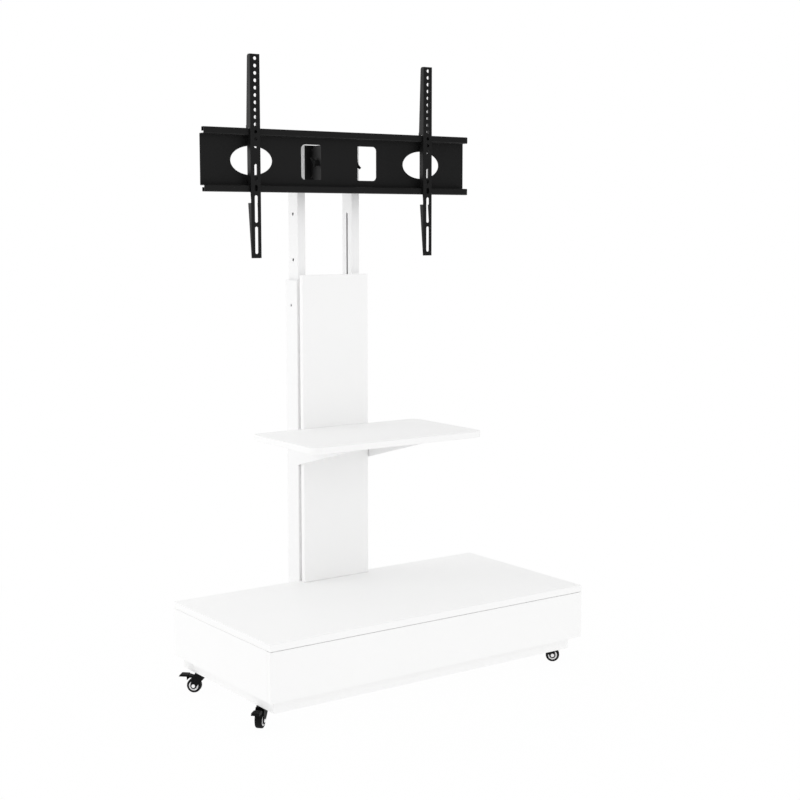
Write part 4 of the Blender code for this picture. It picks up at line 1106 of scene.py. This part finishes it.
def wing_knob(side_name, side, tongue):
    """A moulded knob with two flared wings, about the tilt bolt's axis."""
    start = tongue + SEAT
    length_on = [0.0, KNOB_WASHER, KNOB_WASHER, KNOB_BOSS * 0.9, KNOB_BOSS]
    radii = [0.009, 0.009, KNOB_BOSS_RADIUS, KNOB_BOSS_RADIUS * 0.9, KNOB_BOSS_RADIUS * 0.7]
    profile = [(0.0043, start)]
    profile += [(radius, start + along) for radius, along in zip(radii, length_on)]
    profile += [(0.0, start + KNOB_BOSS), (0.0, start + 0.0085), (0.0043, start + 0.0085)]
    boss = turned(profile, "Z", (0.0, 0.0, 0.0), 48)
    boss.transform(TURN_TO["X"])
    half = KNOB_SPAN / 2
    root = start + 0.0045
    tip = start + KNOB_REACH
    corners = (
        (root, -KNOB_BOSS_RADIUS * 0.7),
        (tip - 0.0045, -half),
        (tip, -half),
        (start + KNOB_BOSS * 0.95, 0.0),
        (tip, half),
        (tip - 0.0045, half),
        (root, KNOB_BOSS_RADIUS * 0.7),
    )
    wings = pushed(corners, "Y", (-KNOB_THICK / 2, KNOB_THICK / 2), [(0.0020, [1, 2, 4, 5])], 5)
    hollow = rod((0.0, 0.0, 0.0), "X", (start - OVERRUN, start + 0.0084), 0.0060)
    wings = cut(wings, hollow)
    wings.transform(Matrix.Rotation(math.radians(KNOB_TURN), 4, "X"))
    knob = join(boss, wings)
    if side < 0:
        knob.transform(Matrix.Scale(-1.0, 4, (1.0, 0.0, 0.0)))
        knob.flip_normals()
    return knob


class STAND_OT_arms(Operator):
    """Build the two slotted arms"""

    bl_idname = "stand.arms"
    bl_label = "Arms"

    def execute(self, context):
        sizes = context.scene.stand_head
        for side_name, side in SIDES:
            put(
                "screen_arm_" + side_name,
                arm_shape(sizes, "arm_" + side_name),
                "black powder coat",
                f"arm_{side_name}_body",
                "black_steel",
                "arm_" + side_name,
            )
        return {"FINISHED"}


def arm_shape(sizes, node):
    """A channel with notches over both rails, round holes above, and slots below."""
    low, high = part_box(node)
    plate_low, plate_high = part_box("wall_plate")
    web = low.y
    rail_top = plate_high.z
    rail_bottom = plate_low.z
    notch = plate_low.y - ARM_RAIL_GAP
    finger_front = plate_low.y + sizes.rail_return + ARM_RAIL_GAP
    finger_back = high.y
    hook = rail_top + ARM_RAIL_GAP
    inner_top = rail_top - sizes.rail_height - ARM_RAIL_GAP
    inner_bottom = rail_bottom + sizes.rail_height + ARM_RAIL_GAP
    bare = rail_bottom - ARM_BARE_LENGTH
    outline = [
        (web, low.z),
        (web, high.z),
        (web + ARM_TOP_FLANGE, high.z),
        (web + ARM_HOOK_FLANGE, hook + ARM_HOOK_DROP),
        (finger_back, hook + ARM_HOOK_DROP),
        (finger_back, rail_top - ARM_HOOK_DROP),
        (finger_front, rail_top - ARM_HOOK_DROP),
        (finger_front, hook),
        (notch, hook),
        (notch, inner_top),
        (web + ARM_MIDDLE_FLANGE, inner_top),
        (web + ARM_MIDDLE_FLANGE, inner_bottom),
        (notch, inner_bottom),
        (notch, rail_bottom - ARM_RAIL_GAP),
        (web + ARM_SHEET, rail_bottom - ARM_RAIL_GAP),
        (web + ARM_SHEET, bare),
        (web + ARM_LOWER_FLANGE, bare),
        (web + ARM_FOOT_FLANGE, low.z),
    ]
    rounds = [(0.006, [2]), (0.0012, [5, 6, 10, 11, 16])]
    body = pushed(outline, "X", (low.x, high.x), rounds)
    bm = bmesh.new()
    bm.from_mesh(body)
    front = [edge for edge in bm.edges if all(abs(vert.co.y - web) < SEAT / 2 for vert in edge.verts)]
    round_off(bm, [edge for edge in front if edge.calc_length() > (high.z - low.z) / 2], 0.0020, 5)
    body = solid(bm)
    inner = (low.x + ARM_SHEET, web + ARM_SHEET, low.z - OVERRUN)
    core = block(inner, (high.x - ARM_SHEET, high.y + OVERRUN, high.z + OVERRUN), 0.0006, "Z", 3)
    centre = (low.x + high.x) / 2
    ends = (web - OVERRUN, web + ARM_SHEET + OVERRUN)
    tools = []
    for step in range(sizes.arm_count):
        z = high.z - ARM_HOLE_TOP - step * sizes.arm_pitch
        tools.append(rod((centre, 0.0, z), "Y", ends, sizes.arm_hole))
    foot = low.z + ARM_SLOT_FOOT
    for run in ARM_SLOTS:
        tools.append(slot_cutter((centre, foot + run / 2), "Y", ends, sizes.arm_hole, run / 2))
        foot += run + ARM_SLOT_GAP
    return cut(body, core, gathered(tools))


class STAND_OT_castors(Operator):
    """Build the four castors"""

    bl_idname = "stand.castors"
    bl_label = "Castors"

    def execute(self, context):
        sizes = context.scene.stand_castor
        shapes = castor_shapes(sizes)
        finishes = {
            "plate": ("black powder coat", "black_steel"),
            "fork": ("black moulding", "black_plastic"),
            # Axle caps and cores take the pale plastic painted lighter, as painted light against the base's shade.
            "axle": ("pale moulding with painted light", "pale_plastic"),
            "core": ("pale moulding with painted light", "pale_plastic"),
            "tyre": ("black tread", "black_tyre"),
            "pedal": ("black moulding", "black_plastic"),
        }
        for name in CASTORS:
            low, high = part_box(f"castor_{name}_plate")
            swivel = (low + high) / 2
            swivel.z = 0.0
            core = sum(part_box(f"castor_{name}_core"), Vector()) / 2
            run = core - swivel
            turn = Matrix.Translation(swivel) @ Matrix.Rotation(math.atan2(run.y, run.x), 4, "Z")
            bodies = {"plate": "base", "core": "wheel_" + name, "tyre": "wheel_" + name}
            bodies["pedal"] = "pedal_" + name
            for part, (material, slot) in finishes.items():
                matrix = Matrix.Translation(swivel) if part == "plate" else turn
                nodes = () if part == "axle" else (f"castor_{name}_{part}",)
                bevel = 0.0005 if part == "pedal" else 0.0
                put(
                    f"{name}_{part}",
                    moved(shapes[part], matrix),
                    material,
                    bodies.get(part, "castor_" + name),
                    slot,
                    *nodes,
                    bevel=bevel,
                )
        return {"FINISHED"}


def castor_shapes(sizes):
    """The six pieces of one castor, with the swivel at the origin and the wheel trailing along +X."""
    under = CASTOR_TOP - CAP_THICK
    race = under - RACE_HEIGHT
    crown_under = race - RUNNING_GAP - CROWN_THICK
    head_top = crown_under - RUNNING_GAP
    stem_top = CASTOR_TOP + STEM_LENGTH
    plate = turned(
        [
            (0.0, stem_top),
            (STEM_RADIUS - 0.0006, stem_top),
            (STEM_RADIUS, stem_top - 0.0006),
            (STEM_RADIUS, CASTOR_TOP),
            (CAP_RADIUS - 0.0005, CASTOR_TOP),
            (CAP_RADIUS, CASTOR_TOP - 0.0005),
            (CAP_RADIUS, under),
            (RACE_RADIUS, under),
            (RACE_RADIUS, race + 0.0003),
            (RACE_RADIUS - 0.0003, race),
            (0.003, race),
            (0.003, head_top),
            (0.0052, head_top),
            (0.0050, head_top - 0.0012),
            (0.0032, head_top - 0.002),
            (0.0, head_top - 0.002),
        ],
        "Z",
        (0.0, 0.0, 0.0),
        closed=False,
    )

    centre = (sizes.trail, 0.0, sizes.wheel_radius)
    outer = CHEEK_INNER + CHEEK_THICK
    top = crown_under + CROWN_THICK
    crown = block((-0.0145, -outer, crown_under), (0.013, outer, top), 0.002, "Z")
    cheeks = []
    shoulder = top - 0.009
    eye = 0.0078
    for side in (-1, 1):
        corners = (
            (-0.0145, top),
            (-0.0145, shoulder),
            (sizes.trail - eye, sizes.wheel_radius - 0.001),
            (sizes.trail - eye, sizes.wheel_radius - eye),
            (sizes.trail + eye, sizes.wheel_radius - eye),
            (sizes.trail + eye, sizes.wheel_radius + 0.001),
            (sizes.trail + eye / 2, shoulder),
            (0.013, top),
        )
        rounds = [(0.0074, [3, 4]), (0.004, [0, 1]), (0.003, [6])]
        cheeks.append(pushed(corners, "Y", (side * CHEEK_INNER, side * outer), rounds, 10))
    axle = rod(centre, "Y", (-outer, outer), 0.0025)
    pivot = (PEDAL_PIVOT[0], 0.0, PEDAL_PIVOT[1])
    tools = [
        rod((0.0, 0.0, 0.0), "Z", (crown_under - OVERRUN, top + OVERRUN), 0.0034),
        rod(pivot, "Y", (-outer - OVERRUN, outer + OVERRUN), 0.0019),
    ]
    web_corners = (
        (-0.0145, top),
        (-0.0145, shoulder),
        (-0.0053, sizes.wheel_radius + 0.013),
        (-0.0023, sizes.wheel_radius + 0.013),
        (-0.0119, shoulder + 0.0009),
        (-0.0119, top),
    )
    web = pushed(web_corners, "Y", (-CHEEK_INNER - SEAT, CHEEK_INNER + SEAT))
    fork = cut(join(crown, web, *cheeks, axle), gathered(tools))

    caps = []
    for side in (-1, 1):
        cap = turned(
            [(0.0, 0.0), (0.0048, 0.0), (0.0047, 0.0006), (0.0038, 0.0012), (0.0020, 0.0016), (0.0, 0.0017)],
            "Y",
            (0.0, 0.0, 0.0),
            closed=False,
        )
        if side < 0:
            cap.transform(Matrix.Rotation(math.pi, 4, "X"))
        cap.transform(Matrix.Translation((centre[0], side * outer, centre[2])))
        caps.append(cap)

    half = sizes.wheel_width / 2
    bore = 0.0029
    rim = sizes.core_radius
    recess = half - 0.0037
    right = [
        (bore, half),
        (0.0064, half),
        (0.0068, half - 0.0004),
        (0.0068, recess + 0.0006),
        (0.0074, recess),
        (rim - 0.0028, recess),
        (rim - 0.0022, recess + 0.0006),
        (rim - 0.0020, half - 0.0003),
        (rim, half - 0.0001),
    ]
    core = turned(right + [(radius, -height) for radius, height in reversed(right)], "Y", centre)
    inner = rim + SEAT
    radius = sizes.wheel_radius
    tread = [
        (inner, half - 0.0002),
        (inner + 0.0004, half),
        (radius - 0.0026, half),
        (radius - 0.0015, half - 0.0004),
        (radius - 0.0005, half - 0.0013),
        (radius - 0.0001, half - 0.0026),
        (radius, half - 0.0045),
    ]
    tyre = turned(tread + [(wide, -height) for wide, height in reversed(tread)], "Y", centre, 96)

    px, pz = PEDAL_PIVOT
    pad_top = CASTOR_TOP - 0.0039
    knee = sizes.trail + sizes.wheel_radius
    root_corners = (
        (px - 0.0018, pz - 0.0026),
        (knee, pz - 0.0026),
        (knee, pad_top),
        (px + 0.0052, pz + 0.0018),
        (px - 0.0018, pz + 0.0018),
    )
    root = pushed(root_corners, "Y", (-0.0082, 0.0082), [(0.0015, [0, 4])])
    round_face = rod(centre, "Y", (-outer, outer), radius + BRAKE_GAP, segments=96)
    shoe_low = (sizes.trail + 0.0115, -0.0080, sizes.wheel_radius + 0.0132)
    shoe = cut(block(shoe_low, (knee - 0.0002, 0.0080, pz), 0.0006, "Y", 3), round_face)
    pad_under = pad_top - PEDAL_TIP_THICK
    pad_corners = (
        (knee - 0.0045, pad_top - 0.0045),
        (knee, pad_under),
        (PEDAL_REACH, pad_under),
        (PEDAL_REACH - 0.0045, pad_top),
        (knee - 0.0045, pad_top),
    )
    pad = pushed(pad_corners, "Y", (-PEDAL_HALF_WIDTH, PEDAL_HALF_WIDTH), [(0.0012, [2, 3])])
    grooves = []
    for step in range(4):
        x = knee + 0.0015 + step * 0.0034
        grooves.append(block((x, -0.0085, pad_top - 0.0007), (x + 0.0012, 0.0085, pad_top + OVERRUN)))
    pivot_pin = rod(pivot, "Y", (-outer, outer), 0.0015)
    pedal = cut(join(root, pad, shoe, pivot_pin), gathered(grooves))
    return {
        "plate": plate,
        "fork": fork,
        "axle": gathered(caps),
        "core": core,
        "tyre": tyre,
        "pedal": pedal,
    }


# Stage


class STAND_OT_stage(Operator):
    """Set up the camera, the floor and the light"""

    bl_idname = "stand.stage"
    bl_label = "Stage"

    def execute(self, context):
        scene = context.scene
        sizes = scene.stand_stage
        lens = bpy.data.cameras.new("photo camera")
        lens.lens = sizes.lens
        camera = bpy.data.objects.new("photo camera", lens)
        camera.location = sizes.eye
        camera.rotation_euler = (math.pi / 2 - sizes.dip, 0.0, -sizes.turn)
        scene.collection.objects.link(camera)
        scene.camera = camera
        scene.view_settings.view_transform = "Standard"
        make_world(scene, sizes.sky)
        make_floor(scene, sizes.floor)
        low, high = cad_box
        aim = (low + high) / 2
        for name, power, place, size in (
            ("side lamp", sizes.side, Vector((-3.0, 2.2, 1.7)), 1.5),
            ("front lamp", sizes.front, Vector((0.6, -4.2, 2.6)), 3.0),
        ):
            lamp = bpy.data.lights.new(name, "AREA")
            lamp.energy = power
            lamp.size = size
            holder = bpy.data.objects.new(name, lamp)
            holder.location = place
            holder.rotation_euler = (aim - place).to_track_quat("-Z", "Y").to_euler()
            scene.collection.objects.link(holder)
        return {"FINISHED"}


def make_world(scene, strength):
    """White to the camera and in reflections, and a plain soft light for everything else."""
    world = bpy.data.worlds.new("studio")
    world.use_nodes = True
    tree = world.node_tree
    backdrop = tree.nodes["Background"]
    backdrop.inputs["Color"].default_value = (1.0, 1.0, 1.0, 1.0)
    path = tree.nodes.new("ShaderNodeLightPath")
    seen = add_math(tree, "MAXIMUM", path.outputs["Is Camera Ray"], path.outputs["Is Transmission Ray"])
    toward = tree.nodes.new("ShaderNodeVectorMath")
    toward.operation = "DOT_PRODUCT"
    toward.inputs[1].default_value = BACKDROP_WAY
    tree.links.new(tree.nodes.new("ShaderNodeTexCoord").outputs["Generated"], toward.inputs[0])
    room = add_range(tree, toward.outputs["Value"], -0.5, 0.5, ROOM_FRONT_SHARE, 1.0)
    mirrored = add_range(tree, path.outputs["Is Glossy Ray"], 0.0, 1.0, strength, room)
    tree.links.new(add_range(tree, seen, 0.0, 1.0, mirrored, 1.0), backdrop.inputs["Strength"])
    scene.world = world


def make_floor(scene, tint):
    """A pale round floor that fades out, so that it has no edge."""
    bm = bmesh.new()
    under = Matrix.Translation((0.0, 0.0, cad_box[0].z - SEAT))
    bmesh.ops.create_circle(bm, cap_ends=True, segments=96, radius=FLOOR_RADIUS, matrix=under)
    mesh = bpy.data.meshes.new("studio_floor")
    bm.to_mesh(mesh)
    bm.free()
    floor = bpy.data.objects.new("studio_floor", mesh)
    scene.collection.objects.link(floor)
    material = bpy.data.materials.new("studio floor")
    material.use_nodes = True
    tree = material.node_tree
    shader = tree.nodes["Principled BSDF"]
    shader.inputs["Base Color"].default_value = (*tint, 1.0)
    shader.inputs["Roughness"].default_value = 0.9
    shader.inputs["Specular IOR Level"].default_value = 0.0
    distance = tree.nodes.new("ShaderNodeVectorMath")
    distance.operation = "LENGTH"
    tree.links.new(tree.nodes.new("ShaderNodeTexCoord").outputs["Object"], distance.inputs[0])
    fade = add_range(tree, distance.outputs["Value"], 0.6, 1.6, FLOOR_WHITE, 1.0)
    path = tree.nodes.new("ShaderNodeLightPath")
    seen = add_math(tree, "MAXIMUM", path.outputs["Is Camera Ray"], path.outputs["Is Glossy Ray"])
    glow = tree.nodes.new("ShaderNodeEmission")
    mix = tree.nodes.new("ShaderNodeMixShader")
    glowing = add_range(tree, seen, 0.0, 1.0, FLOOR_GLOW_SHARE, 1.0)
    tree.links.new(add_math(tree, "MULTIPLY", glowing, fade), mix.inputs["Fac"])
    tree.links.new(shader.outputs["BSDF"], mix.inputs[1])
    tree.links.new(glow.outputs["Emission"], mix.inputs[2])
    tree.links.new(mix.outputs["Shader"], tree.nodes["Material Output"].inputs["Surface"])
    mesh.materials.append(material)


class STAND_PT_sidebar(Panel):
    """Steps and sizes of the television stand"""

    bl_label = "Television Stand"
    bl_idname = "STAND_PT_sidebar"
    bl_space_type = "VIEW_3D"
    bl_region_type = "UI"
    bl_category = "Stand"

    def draw(self, context):
        for step in STEPS:
            self.layout.operator(step.bl_idname)
        for name, group in GROUPS.items():
            column = self.layout.column(heading=group.__doc__)
            for label in group.__annotations__:
                column.prop(getattr(context.scene, name), label)


STEPS = (
    STAND_OT_finishes,
    STAND_OT_stage,
    STAND_OT_base,
    STAND_OT_drawer,
    STAND_OT_castors,
    STAND_OT_column,
    STAND_OT_shelf,
    STAND_OT_mast,
    STAND_OT_head,
    STAND_OT_arms,
)


def register():
    """Register the settings, the steps and the panel."""
    for name, group in GROUPS.items():
        bpy.utils.register_class(group)
        setattr(bpy.types.Scene, name, PointerProperty(type=group))
    for step in STEPS:
        bpy.utils.register_class(step)
    bpy.utils.register_class(STAND_PT_sidebar)


def unregister():
    """Undo register."""
    bpy.utils.unregister_class(STAND_PT_sidebar)
    for step in reversed(STEPS):
        bpy.utils.unregister_class(step)
    for name, group in reversed(GROUPS.items()):
        delattr(bpy.types.Scene, name)
        bpy.utils.unregister_class(group)


def main():
    """Register the add-on, run its steps in order, and write both boxes."""
    register()
    for step in STEPS:
        group, name = step.bl_idname.split(".")
        getattr(getattr(bpy.ops, group), name)()


if __name__ == "__main__":
    main()
